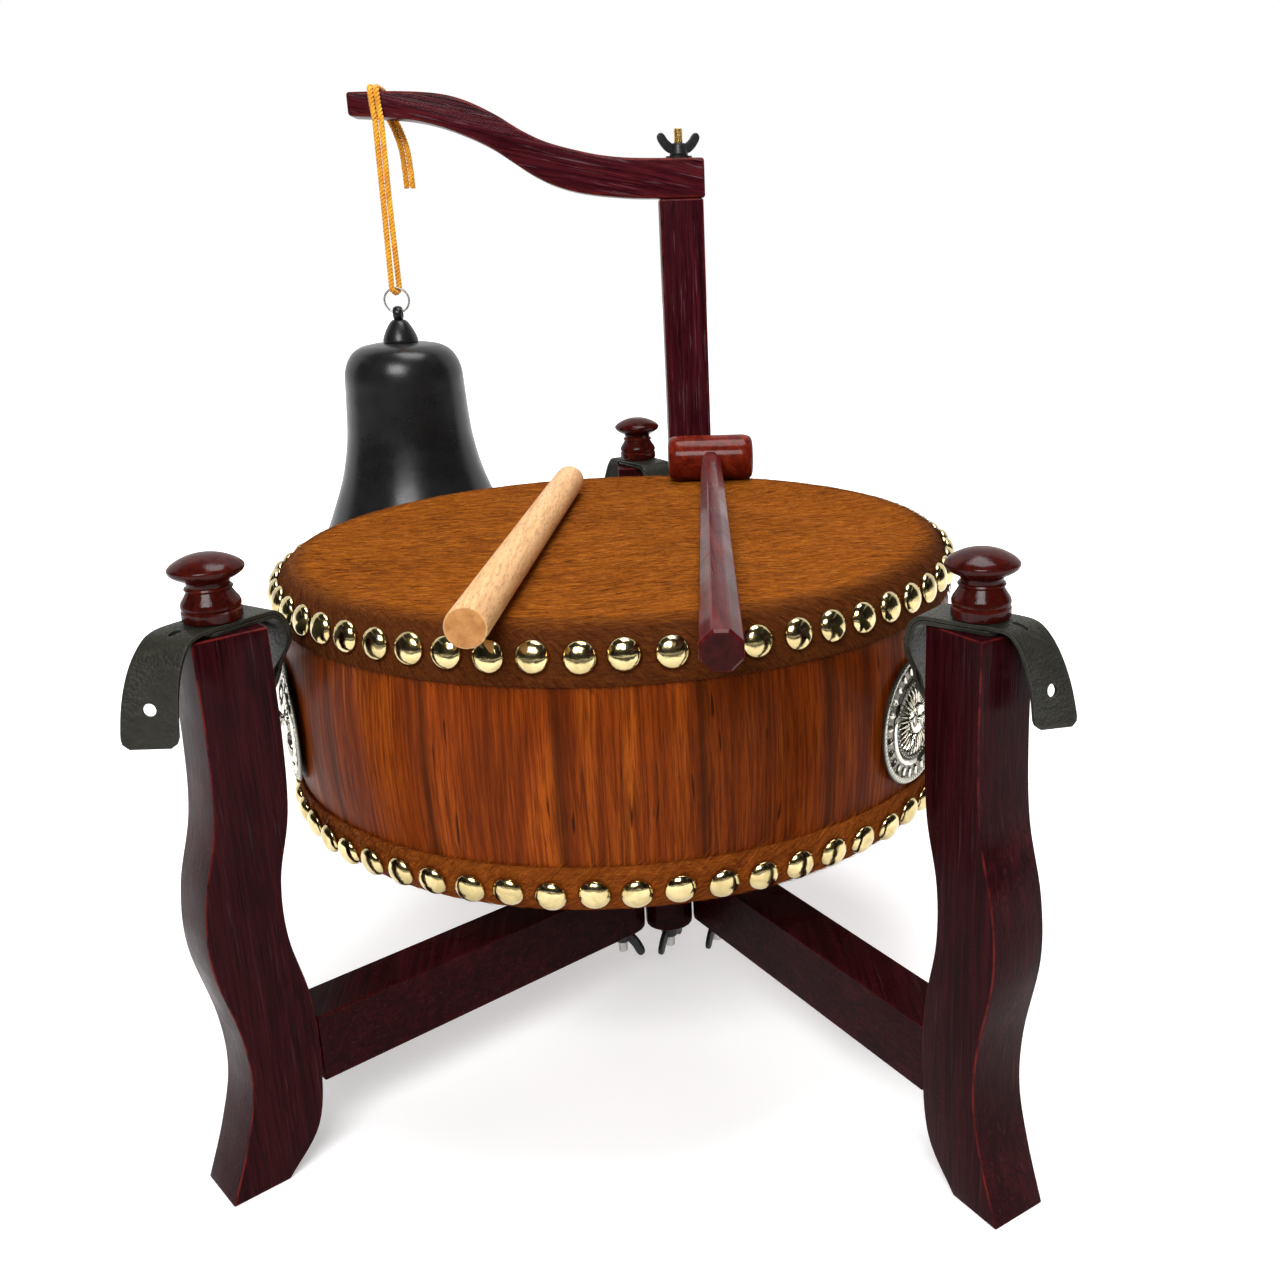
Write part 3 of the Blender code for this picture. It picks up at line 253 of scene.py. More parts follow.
def softbox(name, place_at, aim, width, height, watts, mirrored=True):
    """A lit rectangle aimed at a point. Where it isn't mirrored, nothing shiny shows it."""
    data = bpy.data.lights.new(name, "AREA")
    data.shape = "RECTANGLE"
    data.size = width
    data.size_y = height
    data.energy = watts
    light = linked(bpy.data.objects.new(name, data))
    light.location = place_at
    light.rotation_mode = "QUATERNION"
    light.rotation_quaternion = (Vector(aim) - Vector(place_at)).to_track_quat("-Z", "Y")
    light.visible_glossy = mirrored


def seen_plainly(tree):
    """1 for a ray from the camera or off a shiny surface, and 0 for one that only brings light."""
    path = tree.nodes.new("ShaderNodeLightPath")
    total = path.outputs["Is Camera Ray"]
    for name in ("Is Glossy Ray", "Is Transmission Ray"):
        either = tree.nodes.new("ShaderNodeMath")
        either.operation = "MAXIMUM"
        tree.links.new(total, either.inputs[0])
        tree.links.new(path.outputs[name], either.inputs[1])
        total = either.outputs[0]
    return total


def set_studio():
    scene = bpy.context.scene
    scene.view_settings.view_transform = "Standard"
    world = bpy.data.worlds.new("studio")
    scene.world = world
    world.use_nodes = True
    tree = world.node_tree
    background = tree.nodes["Background"]
    background.inputs["Color"].default_value = (1.0, 1.0, 1.0, 1.0)
    strength = tree.nodes.new("ShaderNodeMapRange")
    tree.links.new(seen_plainly(tree), strength.inputs["Value"])
    strength.inputs["To Min"].default_value = 0.55
    strength.inputs["To Max"].default_value = 1.0
    tree.links.new(strength.outputs["Result"], background.inputs["Strength"])
    softbox("front_softbox", (-0.35, -1.70, 1.60), (0.0, 0.0, 0.22), 1.1, 0.8, 44.0)
    softbox("top_softbox", (0.20, 0.10, 1.90), (0.0, 0.0, 0.25), 1.0, 0.8, 24.0)
    softbox("left_softbox", (-1.70, -0.60, 0.90), (0.0, 0.0, 0.25), 0.5, 1.0, 3.5, mirrored=False)
    softbox("right_softbox", (1.75, -0.70, 0.80), (0.0, 0.0, 0.25), 0.4, 1.0, 5.5, mirrored=False)
    softbox("back_softbox", (0.30, 1.80, 1.30), (0.0, 0.0, 0.30), 1.2, 0.7, 16.0, mirrored=False)


def set_flags():
    """Black felt flags in front, low in front, at both sides and overhead, for the gloss and the metal to reflect."""
    felt = Paint("black_felt", roughness=0.9)
    felt.set("Base Color", (0.030, 0.028, 0.026))
    mix = felt.node("ShaderNodeMixShader", {
        "Fac": felt.node("ShaderNodeLightPath").outputs["Is Camera Ray"],
        1: felt.shader.outputs["BSDF"],
        2: felt.node("ShaderNodeBsdfTransparent").outputs["BSDF"],
    })
    felt.give(mix.outputs["Shader"], felt.tree.nodes["Material Output"].inputs["Surface"])
    for name, corners in (
        ("front_flag", ((-3.0, -2.6, 0.15), (3.0, -2.6, 0.15), (3.0, -2.6, 2.6), (-3.0, -2.6, 2.6))),
        ("apron_flag", ((-3.0, -2.6, 0.02), (3.0, -2.6, 0.02), (3.0, -1.05, 0.02), (-3.0, -1.05, 0.02))),
        ("left_flag", ((-3.0, 0.9, 0.10), (-3.0, -2.6, 0.10), (-3.0, -2.6, 2.6), (-3.0, 0.9, 2.6))),
        ("right_flag", ((3.0, 0.9, 0.10), (3.0, -2.6, 0.10), (3.0, -2.6, 2.6), (3.0, 0.9, 2.6))),
        ("top_flag", ((-3.0, -2.6, 2.6), (3.0, -2.6, 2.6), (3.0, 1.4, 2.9), (-3.0, 1.4, 2.9))),
    ):
        mesh = bpy.data.meshes.new(name)
        mesh.from_pydata(corners, [], [(0, 1, 2, 3)])
        mesh.materials.append(felt.material)
        flag = linked(bpy.data.objects.new(name, mesh))


def set_floor():
    mesh = bpy.data.meshes.new("floor")
    builder = bmesh.new()
    bmesh.ops.create_circle(builder, cap_ends=True, segments=64, radius=9.0)
    builder.to_mesh(mesh)
    builder.free()
    paint = Paint("white_floor", roughness=0.9, specular=0.1)
    paint.set("Base Color", (0.80, 0.80, 0.80))
    away = paint.node("ShaderNodeVectorMath", {0: paint.place}, operation="LENGTH").outputs["Value"]
    glow = paint.node("ShaderNodeMapRange", {
        "Value": away, "From Min": 0.35, "From Max": 1.3, "To Min": 0.40, "To Max": 1.0,
    }, interpolation_type="SMOOTHSTEP").outputs["Result"]
    paint.set("Emission Color", (1.0, 1.0, 1.0))
    paint.set("Emission Strength", paint.sums("MULTIPLY", seen_plainly(paint.tree), glow))
    mesh.materials.append(paint.material)
    floor = linked(bpy.data.objects.new("floor", mesh))


# Finishes


class Nodes:
    """A node tree, made one node at a time. A node is given numbers, colours or other nodes' sockets."""

    def give(self, value, socket):
        if isinstance(value, bpy.types.NodeSocket):
            self.tree.links.new(value, socket)
        elif socket.type == "RGBA" and len(value) == 3:
            socket.default_value = (*value, 1.0)
        else:
            socket.default_value = value

    def node(self, kind, inputs=(), **settings):
        node = self.tree.nodes.new(kind)
        for name, value in settings.items():
            setattr(node, name, value)
        for name, value in dict(inputs).items():
            self.give(value, node.inputs[name])
        return node

    def sums(self, operation, first, second=0.0):
        return self.node("ShaderNodeMath", {0: first, 1: second}, operation=operation).outputs[0]


class Paint(Nodes):
    """A material."""

    def __init__(self, name, roughness=0.5, metallic=0.0, coat=0.0, coat_roughness=0.1, sheen=0.0, specular=0.5):
        self.material = bpy.data.materials.new(name)
        self.material.use_nodes = True
        self.tree = self.material.node_tree
        self.shader = self.tree.nodes["Principled BSDF"]
        self.set("Roughness", roughness)
        self.set("Metallic", metallic)
        self.set("Coat Weight", coat)
        self.set("Coat Roughness", coat_roughness)
        self.set("Sheen Weight", sheen)
        self.set("Specular IOR Level", specular)
        self.place = self.node("ShaderNodeTexCoord").outputs["Object"]

    def set(self, name, value):
        self.give(value, self.shader.inputs[name])

    def stretched(self, scale, turn=(0.0, 0.0, 0.0), shift=(0.0, 0.0, 0.0), place=None):
        inputs = {"Vector": place or self.place, "Location": shift, "Rotation": turn, "Scale": scale}
        return self.node("ShaderNodeMapping", inputs).outputs["Vector"]

    def noise(self, place, scale=1.0, detail=3.0, roughness=0.55, distortion=0.0):
        inputs = {
            "Vector": place, "Scale": scale, "Detail": detail, "Roughness": roughness, "Distortion": distortion,
        }
        return self.node("ShaderNodeTexNoise", inputs).outputs["Fac"]

    def drawn(self, place, scale, *settings):
        """Noise drawn out along the place's axes, furthest where the scale is smallest."""
        return self.noise(self.stretched(scale, place=place), 1.0, *settings)

    def cells(self, place, scale):
        return self.node("ShaderNodeTexVoronoi", {"Vector": place, "Scale": scale}).outputs["Distance"]

    def ramp(self, value, *stops):
        """Colours or greys, each at its place from 0 to 1."""
        node = self.node("ShaderNodeValToRGB", {"Fac": value})
        band = node.color_ramp
        while len(band.elements) < len(stops):
            band.elements.new(1.0)
        for element, (position, colour) in zip(band.elements, stops):
            element.position = position
            element.color = (colour,) * 3 + (1.0,) if isinstance(colour, float) else (*colour, 1.0)
        return node.outputs["Color"]

    def blend(self, share, first, second, mode="MIX"):
        node = self.node("ShaderNodeMix", data_type="RGBA", blend_type=mode)
        self.give(share, node.inputs["Factor"])
        self.give(first, node.inputs[6])
        self.give(second, node.inputs[7])
        return node.outputs[2]

    def washed(self, colour, wash, value, *stops):
        """The colour under a wash, which covers as much as the stops say for each value."""
        return self.blend(self.ramp(value, *stops), colour, wash)

    def attribute(self, name):
        return self.node("ShaderNodeAttribute", attribute_name=name).outputs["Fac"]

    def edges(self, width):
        """About 1 along the rounded and sharp edges and 0 on the flats."""
        soft = self.node("ShaderNodeBevel", {"Radius": width}, samples=4).outputs["Normal"]
        true = self.node("ShaderNodeNewGeometry").outputs["Normal"]
        node = self.node("ShaderNodeVectorMath", {0: soft, 1: true}, operation="DOT_PRODUCT")
        return self.ramp(node.outputs["Value"], (0.80, 1.0), (0.995, 0.0))

    def relief(self, *layers):
        """Each layer is a height and how many metres it stands at 1."""
        normal = None
        for height, metres in layers:
            node = self.node("ShaderNodeBump", {"Height": height, "Distance": metres, "Strength": 1.0})
            if normal is not None:
                self.give(normal, node.inputs["Normal"])
            normal = node.outputs["Normal"]
        self.set("Normal", normal)
        self.set("Coat Normal", normal)


def lacquered_wood(name, turn=(0.0, 0.0, 0.0), dark=(0.0080, 0.0010, 0.0015), body=(0.0230, 0.0024, 0.0036),
                   light=(0.0560, 0.0056, 0.0072), worn=(0.135, 0.0130, 0.0098), grain=1.0, gloss=0.055, pale_pores_and_sheen=0.10):
    """Open-grained wood under a dark stain and a gloss coat, its open pores paler, partly as painted sheen. Its grain
    runs along Z, or where the turn puts Z.
    """
    paint = Paint(name, coat=gloss, coat_roughness=0.09, specular=0.02)
    along = paint.stretched((1.0, 1.0, 1.0), turn)
    figure = paint.drawn(along, (105.0, 105.0, 5.0), 5.0, 0.6, 1.6)
    pores = paint.drawn(along, (1250.0, 1250.0, 32.0), 2.0, 0.6)
    streaks = paint.drawn(along, (330.0, 330.0, 6.0), 4.0, 0.65)
    clouds = paint.noise(paint.place, 14.0, 3.0)
    colour = paint.ramp(figure, (0.24, dark), (0.50, body), (0.82, light))
    colour = paint.washed(colour, light, streaks, (0.48, 0.0), (0.74, 0.42 * grain))
    colour = paint.washed(colour, dark, pores, (0.36, 0.85 * grain), (0.47, 0.0))
    colour = paint.washed(colour, dark, clouds, (0.35, 0.28), (0.65, 0.0))
    # Pale streaks along the open pores: partly pale filler, partly a painted grey sheen standing in for light off the
    # coat.
    pale = paint.drawn(along, (620.0, 620.0, 22.0), 3.0, 0.6, 0.4)
    colour = paint.washed(colour, (0.150, 0.082, 0.094), pale, (0.60, 0.0), (0.69, pale_pores_and_sheen))
    arris = paint.sums("MAXIMUM", paint.edges(0.0010), paint.attribute("rubbed"))
    patchy = paint.ramp(paint.noise(paint.place, 75.0, 5.0, 0.6), (0.40, 0.06), (0.62, 0.90))
    colour = paint.blend(paint.sums("MULTIPLY", arris, patchy), colour, worn)
    paint.set("Base Color", colour)
    paint.set("Roughness", paint.ramp(paint.noise(paint.place, 45.0), (0.3, 0.24), (0.7, 0.40)))
    paint.relief((pores, 0.00010 * grain), (streaks, 0.00012 * grain), (clouds, 0.0006 * grain))
    return paint.material


def stave_wood():
    """Each stave has its own tone and its own run of grain, from the shell's UV map and stave_tone."""
    paint = Paint("stave_wood", coat=0.03, coat_roughness=0.16, specular=0.02)
    flat = paint.node("ShaderNodeUVMap", uv_map="staves").outputs["UV"]
    tone = paint.attribute("stave_tone")
    joint = paint.attribute("stave_joint")
    broad = paint.drawn(flat, (34.0, 2.6, 1.0), 4.0, 0.6, 1.2)
    figure = paint.drawn(flat, (230.0, 6.5, 1.0), 5.0, 0.62, 1.8)
    lines = paint.drawn(flat, (620.0, 24.0, 1.0), 3.0, 0.6)
    pores = paint.drawn(flat, (1900.0, 60.0, 1.0), 2.0, 0.6)
    flecks = paint.drawn(flat, (240.0, 22.0, 1.0), 2.0, 0.5)
    colour = paint.ramp(
        broad, (0.30, (0.095, 0.0150, 0.0024)), (0.50, (0.250, 0.0430, 0.0044)), (0.70, (0.400, 0.0860, 0.0080)))
    colour = paint.washed(colour, (0.090, 0.0145, 0.0026), figure, (0.40, 0.66), (0.53, 0.0))
    colour = paint.washed(colour, (0.090, 0.0135, 0.0024), lines, (0.40, 0.52), (0.52, 0.0))
    colour = paint.washed(colour, (0.430, 0.1050, 0.0120), lines, (0.58, 0.0), (0.72, 0.26))
    colour = paint.washed(colour, (0.060, 0.012, 0.0020), pores, (0.34, 0.60), (0.46, 0.0))
    colour = paint.washed(colour, (0.030, 0.008, 0.0020), flecks, (0.27, 0.90), (0.33, 0.0))
    shade = paint.ramp(tone, (0.0, 0.62), (1.0, 1.12))
    colour = paint.blend(1.0, colour, shade, "MULTIPLY")
    colour = paint.washed(colour, (0.035, 0.008, 0.0016), joint, (0.0, 0.0), (1.0, 0.75))
    paint.set("Base Color", colour)
    paint.set("Roughness", paint.ramp(figure, (0.3, 0.46), (0.7, 0.30)))
    paint.relief((lines, 0.00010), (pores, 0.00006), (broad, 0.0005))
    return paint.material


def darker_band(paint, colour, shade, tone):
    """The hair is darker where the hide turns down over the drum's edge, each strand by its own tone."""
    height = paint.node("ShaderNodeSeparateXYZ", {"Vector": paint.place}).outputs["Z"]
    share = paint.node("ShaderNodeMapRange", {
        "Value": height, "From Min": 0.2945, "From Max": 0.3007, "To Min": shade, "To Max": 0.0,
    }).outputs["Result"]
    around = paint.stretched((1.0, 1.0, 0.0), shift=tuple(-DRUM_AXIS))
    from_axis = paint.node("ShaderNodeVectorMath", {0: around}, operation="LENGTH").outputs["Value"]
    fold = paint.node("ShaderNodeMapRange", {
        "Value": from_axis, "From Min": 0.1810, "From Max": 0.1950, "To Min": 0.0, "To Max": shade,
    }).outputs["Result"]
    dark = paint.ramp(tone, (0.20, (0.024, 0.0048, 0.0024)), (0.80, (0.108, 0.0290, 0.0072)))
    return paint.blend(paint.sums("MAXIMUM", share, fold), colour, dark)


def hide_skin(name, deep, body, bright, along, shade):
    """The hide under its hair, streaked the way that the hair lies."""
    paint = Paint(name, roughness=0.75, specular=0.02)
    strands = paint.noise(paint.stretched(along), 1.0, 4.0, 0.65, 0.6)
    tufts = paint.noise(paint.stretched(tuple(s * 0.22 for s in along)), 1.0, 4.0, 0.6, 0.8)
    patches = paint.noise(paint.place, 11.0, 4.0, 0.6)
    colour = paint.ramp(strands, (0.32, deep), (0.50, body), (0.70, bright))
    colour = paint.washed(colour, deep, tufts, (0.40, 0.60), (0.58, 0.0))
    colour = paint.washed(colour, body, patches, (0.38, 0.55), (0.62, 0.0))
    paint.set("Base Color", darker_band(paint, colour, shade, strands))
    paint.relief((strands, 0.0006), (tufts, 0.0010))
    return paint.material


def hair(name, deep, body, bright, shade):
    """Each hair has its own tone, from hair_tone."""
    paint = Paint(name, specular=0.04)
    patches = paint.noise(paint.place, 16.0, 4.0, 0.6)
    along = paint.noise(paint.place, 420.0, 2.0)
    own = paint.attribute("hair_tone")
    tone = paint.sums("ADD", paint.sums("MULTIPLY", own, 0.62), paint.sums("MULTIPLY", patches, 0.38))
    colour = paint.ramp(tone, (0.18, deep), (0.46, body), (0.82, bright))
    colour = paint.washed(colour, deep, along, (0.35, 0.35), (0.6, 0.0))
    paint.set("Base Color", darker_band(paint, colour, shade, own))
    paint.set("Roughness", paint.ramp(along, (0.3, 0.42), (0.7, 0.60)))
    paint.relief((along, 0.0002))
    return paint.material


def plated(name, colour, shadow, roughness, waves, wave_height):
    """Bright plating over pressed sheet: it ripples a little, and in random smudges it turns rougher and is painted
    darker, a painted shade that breaks up its reflection.
    """
    paint = Paint(name, metallic=1.0)
    ripples = paint.noise(paint.place, waves, 2.0, 0.5)
    smudge_and_painted_shade = paint.noise(paint.place, 70.0, 4.0, 0.6, 0.8)
    scratches = paint.noise(paint.stretched((2400.0, 300.0, 900.0), (0.4, 0.7, 0.2)), 1.0, 2.0, 0.6)
    # Painted shade: random smudges blend the colour toward the darker shadow colour, breaking up the reflection.
    tone = paint.blend(paint.ramp(smudge_and_painted_shade, (0.38, 0.55), (0.62, 0.0)), colour, shadow)
    paint.set("Base Color", tone)
    paint.set("Roughness", paint.ramp(smudge_and_painted_shade, (0.35, roughness * 1.9), (0.65, roughness)))
    paint.relief((ripples, wave_height), (scratches, 0.000008))
    return paint.material


def black_metal(name, colour=(0.013, 0.013, 0.014), roughness=0.36, worn=(0.20, 0.19, 0.18), peel=0.00004):
    """Black paint or oxide with a fine orange-peel skin, rubbed thin along its edges."""
    paint = Paint(name, roughness=roughness, specular=0.32)
    skin = paint.noise(paint.place, 900.0, 2.0, 0.6)
    dust = paint.noise(paint.place, 38.0, 5.0, 0.65)
    rubbed = paint.sums("MULTIPLY", paint.edges(0.0007), paint.ramp(dust, (0.45, 0.0), (0.70, 0.55)))
    tone = paint.blend(paint.ramp(dust, (0.40, 0.0), (0.75, 0.40)), colour, tuple(c * 2.2 for c in colour))
    paint.set("Base Color", paint.blend(rubbed, tone, worn))
    paint.set("Roughness", paint.ramp(dust, (0.3, roughness * 0.85), (0.7, roughness * 1.25)))
    paint.relief((skin, peel), (dust, 0.0002))
    return paint.material


def strap_leather():
    """Thick black-green leather, pebbled, with paler cut edges."""
    paint = Paint("strap_leather", specular=0.28)
    pebble = paint.cells(paint.place, 640.0)
    fine = paint.noise(paint.place, 1700.0, 2.0, 0.6)
    creases = paint.noise(paint.stretched((90.0, 90.0, 150.0)), 1.0, 5.0, 0.65, 1.5)
    colour = paint.ramp(
        creases, (0.30, (0.0100, 0.0098, 0.0062)), (0.60, (0.0190, 0.0178, 0.0112)), (0.85, (0.0360, 0.0330, 0.0215)))
    colour = paint.blend(paint.sums("MULTIPLY", paint.edges(0.0009), 0.5), colour, (0.090, 0.092, 0.074))
    paint.set("Base Color", colour)
    paint.set("Roughness", paint.ramp(pebble, (0.0, 0.34), (0.8, 0.60)))
    paint.relief((pebble, 0.00022), (fine, 0.00006), (creases, 0.00022))
    return paint.material


def cord_yellow():
    """Bright yellow-orange cord. Fine fibres run along each ply, from its UV map."""
    paint = Paint("cord_yellow", roughness=0.72, sheen=0.35)
    flat = paint.node("ShaderNodeUVMap", uv_map="ply").outputs["UV"]
    fibres = paint.drawn(flat, (500.0, 9.0, 1.0), 3.0, 0.6, 0.5)
    soil = paint.noise(paint.place, 120.0, 4.0, 0.6)
    colour = paint.ramp(
        fibres, (0.30, (0.680, 0.250, 0.0020)), (0.55, (0.950, 0.470, 0.0060)), (0.80, (0.980, 0.600, 0.0250)))
    colour = paint.washed(colour, (0.560, 0.180, 0.0030), soil, (0.36, 0.55), (0.56, 0.0))
    paint.set("Base Color", colour)
    paint.relief((fibres, 0.00025), (soil, 0.0002))
    return paint.material


def end_grain(name, deep, body):
    """A sawn end, speckled with open pores and a little rough."""
    paint = Paint(name, roughness=0.62, specular=0.12)
    pores = paint.cells(paint.place, 1500.0)
    cloud = paint.noise(paint.place, 190.0, 4.0, 0.6)
    colour = paint.ramp(cloud, (0.32, deep), (0.66, body))
    paint.set("Base Color", paint.blend(paint.ramp(pores, (0.10, 0.55), (0.32, 0.0)), colour, deep))
    paint.relief((pores, 0.00008), (cloud, 0.00015))
    return paint.material


def beech(name, turn):
    """Pale unvarnished beech with short darker flecks along its grain."""
    paint = Paint(name, roughness=0.55)
    along = paint.stretched((1.0, 1.0, 1.0), turn)
    broad = paint.drawn(along, (90.0, 90.0, 5.0), 4.0, 0.6, 0.8)
    flecks = paint.drawn(along, (900.0, 900.0, 120.0), 2.0, 0.55)
    lines = paint.drawn(along, (480.0, 480.0, 10.0), 3.0, 0.6)
    colour = paint.ramp(
        broad, (0.30, (0.580, 0.300, 0.118)), (0.52, (0.710, 0.405, 0.172)), (0.75, (0.790, 0.485, 0.226)))
    colour = paint.washed(colour, (0.470, 0.240, 0.085), lines, (0.38, 0.50), (0.52, 0.0))
    colour = paint.washed(colour, (0.400, 0.190, 0.062), flecks, (0.37, 0.70), (0.46, 0.0))
    paint.set("Base Color", colour)
    paint.set("Roughness", paint.ramp(lines, (0.3, 0.62), (0.7, 0.46)))
    paint.relief((flecks, 0.00006), (lines, 0.00008))
    return paint.material


# Shapes


def on_drum(point, z=None):
    """A point given from the drum's axis, in the frame."""
    found = point + DRUM_AXIS
    if z is not None:
        found.z = z
    return found


def polar(azimuth, distance):
    """A point in plan, its azimuth in degrees from X."""
    angle = math.radians(azimuth)
    return Vector((math.cos(angle) * distance, math.sin(angle) * distance, 0.0))


def loop_line(radius, count):
    """Points round Z, evenly spaced."""
    turns = [2 * math.pi * k / count for k in range(count)]
    return [Vector((math.cos(angle) * radius, math.sin(angle) * radius, 0.0)) for angle in turns]


def facing(origin, direction, across=None):
    """A matrix at the origin whose Z runs along the direction and, where given, whose X is nearest across."""
    z = direction.normalized()
    if across is None:
        across = Vector((0.0, 1.0, 0.0)) if abs(z.x) > 0.9 else Vector((1.0, 0.0, 0.0))
    y = z.cross(across).normalized()
    matrix = Matrix((y.cross(z), y, z)).transposed().to_4x4()
    matrix.translation = origin
    return matrix


def curve(pairs, steps):
    """The (x, y) points of a smooth line through these."""
    return [(p.x, p.y) for p in smooth_through([(x, y, 0.0) for x, y in pairs], steps)]


def smooth_through(points, steps):
    """A smooth line through the points, with that many stretches between each two."""
    points = [Vector(p) for p in points]
    ends = [2 * points[0] - points[1]] + points + [2 * points[-1] - points[-2]]
    found = []
    for i in range(1, len(ends) - 2):
        a, b, c, d = ends[i - 1 : i + 3]
        square = 2 * a - 5 * b + 4 * c - d
        cube = 3 * b - a - 3 * c + d
        for k in range(steps):
            t = k / steps
            found.append(0.5 * (2 * b + (c - a) * t + square * t**2 + cube * t**3))
    found.append(points[-1])
    return found


def mesh_from(builder, name, sharp):
    """The finished mesh, smooth except where it turns by more than so many degrees."""
    bmesh.ops.recalc_face_normals(builder, faces=builder.faces)
    mesh = bpy.data.meshes.new(name)
    builder.to_mesh(mesh)
    builder.free()
    mesh.shade_smooth()
    mesh.set_sharp_from_angle(angle=math.radians(sharp))
    return mesh


def lathe(outline, steps, closed=False, *, sharp):
    """A profile of (radius, height) points turned round Z."""
    builder = bmesh.new()
    rings = []
    for radius, z in outline:
        if radius < 1e-6:
            rings.append([builder.verts.new((0.0, 0.0, z))])
            continue
        rings.append([builder.verts.new(point + UP * z) for point in loop_line(radius, steps)])
    for upper, lower in zip(rings, rings[1:] + rings[:1] if closed else rings[1:]):
        for k in range(steps):
            n = (k + 1) % steps
            corners = [upper[k % len(upper)], lower[k % len(lower)], lower[n % len(lower)], upper[n % len(upper)]]
            corners = list(dict.fromkeys(corners))
            if len(corners) > 2:
                builder.faces.new(corners)
    return mesh_from(builder, "turned", sharp)


def rounded(outline, radius, steps):
    """The profile with each inner corner rounded off."""
    points = [Vector(p) for p in outline]
    found = [outline[0]]
    for before, corner, after in zip(points, points[1:], points[2:]):
        reach = min(radius, (before - corner).length * 0.45, (after - corner).length * 0.45)
        start = corner + (before - corner).normalized() * reach
        end = corner + (after - corner).normalized() * reach
        for k in range(steps + 1):
            t = k / steps
            spot = start * (1 - t) ** 2 + corner * 2 * t * (1 - t) + end * t**2
            found.append((spot.x, spot.y))
    found.append(outline[-1])
    return found


def distances(line):
    """How far along the line each of its points is."""
    gone = [0.0]
    for a, b in zip(line, line[1:]):
        gone.append(gone[-1] + (b - a).length)
    return gone


def carried(line, closed=False):
    """(point, two directions square to the line) for each point, carried along it without twist."""
    count = len(line)
    tangents = []
    for k in range(count):
        before = line[k - 1] if closed or k else line[0]
        after = line[(k + 1) % count] if closed or k < count - 1 else line[-1]
        tangents.append((after - before).normalized())
    first = tangents[0].orthogonal().normalized()
    found = []
    for point, tangent in zip(line, tangents):
        first = (first - tangent * first.dot(tangent)).normalized()
        found.append((point, first, tangent.cross(first)))
    return found


def wall(builder, low, high):
    """The faces all the way round between two closed rows of points."""
    count = len(low)
    faces = []
    for k in range(count):
        n = (k + 1) % count
        faces.append(builder.faces.new((low[k], low[n], high[n], high[k])))
    return faces


def sweep(builder, line, radius, sides, closed=False, uv=None):
    """Adds a round rod along the line. Its UV map runs in metres along it, and once round it."""
    rings = []
    for point, first, second in carried(line, closed):
        ring = []
        for k in range(sides):
            angle = 2 * math.pi * k / sides
            ring.append(builder.verts.new(point + (first * math.cos(angle) + second * math.sin(angle)) * radius))
        rings.append(ring)
    travelled = 0.0
    pairs = list(zip(rings, rings[1:] + rings[:1] if closed else rings[1:]))
    for index, (near, far) in enumerate(pairs):
        step = (line[(index + 1) % len(line)] - line[index]).length
        for k, face in enumerate(wall(builder, near, far)):
            if uv is not None:
                shares = ((k, 0.0), (k + 1, 0.0), (k + 1, step), (k, step))
                for loop, (turn, ahead) in zip(face.loops, shares):
                    loop[uv].uv = (turn / sides * radius * 6.3, travelled + ahead)
        travelled += step
    if not closed:
        builder.faces.new(rings[0])
        builder.faces.new(rings[-1])


def rod(line, radius, sides, closed=False, sharp=60.0):
    """A round rod along the line."""
    builder = bmesh.new()
    sweep(builder, line, radius, sides, closed)
    return mesh_from(builder, "rod", sharp)


def board(outline, thickness, edge, steps, matrix):
    """A flat shape in XY, half its thickness to each side, with its edges rounded."""
    builder = bmesh.new()
    half = thickness / 2
    lower = [builder.verts.new((x, y, -half)) for x, y in outline]
    upper = [builder.verts.new((x, y, half)) for x, y in outline]
    builder.faces.new(lower)
    builder.faces.new(upper)
    wall(builder, lower, upper)
    bmesh.ops.recalc_face_normals(builder, faces=builder.faces)
    limit = math.radians(40)
    sharp = [e for e in builder.edges if e.calc_face_angle(0.0) > limit]
    rubbed = builder.verts.layers.float.new("rubbed")
    found = bmesh.ops.bevel(
        builder, geom=sharp, offset=edge, offset_type="OFFSET", segments=steps, profile=0.5,
        affect="EDGES", clamp_overlap=True,
    )
    rounding = set(found["faces"])
    for vert in builder.verts:
        vert[rubbed] = 1.0 if rounding.issuperset(vert.link_faces) else 0.0
    bmesh.ops.remove_doubles(builder, verts=builder.verts, dist=1e-6)
    mesh = mesh_from(builder, "board", 20.0)
    mesh.transform(matrix)
    return mesh


def joined(*meshes):
    """One mesh of several, each closed in itself."""
    builder = bmesh.new()
    for mesh in meshes:
        builder.from_mesh(mesh)
        bpy.data.meshes.remove(mesh)
    mesh = bpy.data.meshes.new("joined")
    builder.to_mesh(mesh)
    builder.free()
    return mesh


def piece(name, mesh, material, body, slot, *nodes, matrix=None):
    """One finished piece, with its place in its mesh."""
    if matrix is not None:
        mesh.transform(matrix)
    mesh.name = name
    mesh.materials.clear()
    mesh.materials.append(material)
    obj = linked(bpy.data.objects.new(name, mesh))
    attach(obj, body)
    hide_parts(*nodes)
    return obj


def repaint(material, *nodes):
    """Gives these CAD nodes a finish and leaves their shapes alone."""
    for name in nodes:
        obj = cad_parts[name]
        for holder in obj.material_slots:
            holder.material = material
        if not obj.material_slots:
            obj.data.materials.append(material)


# Geometry node trees


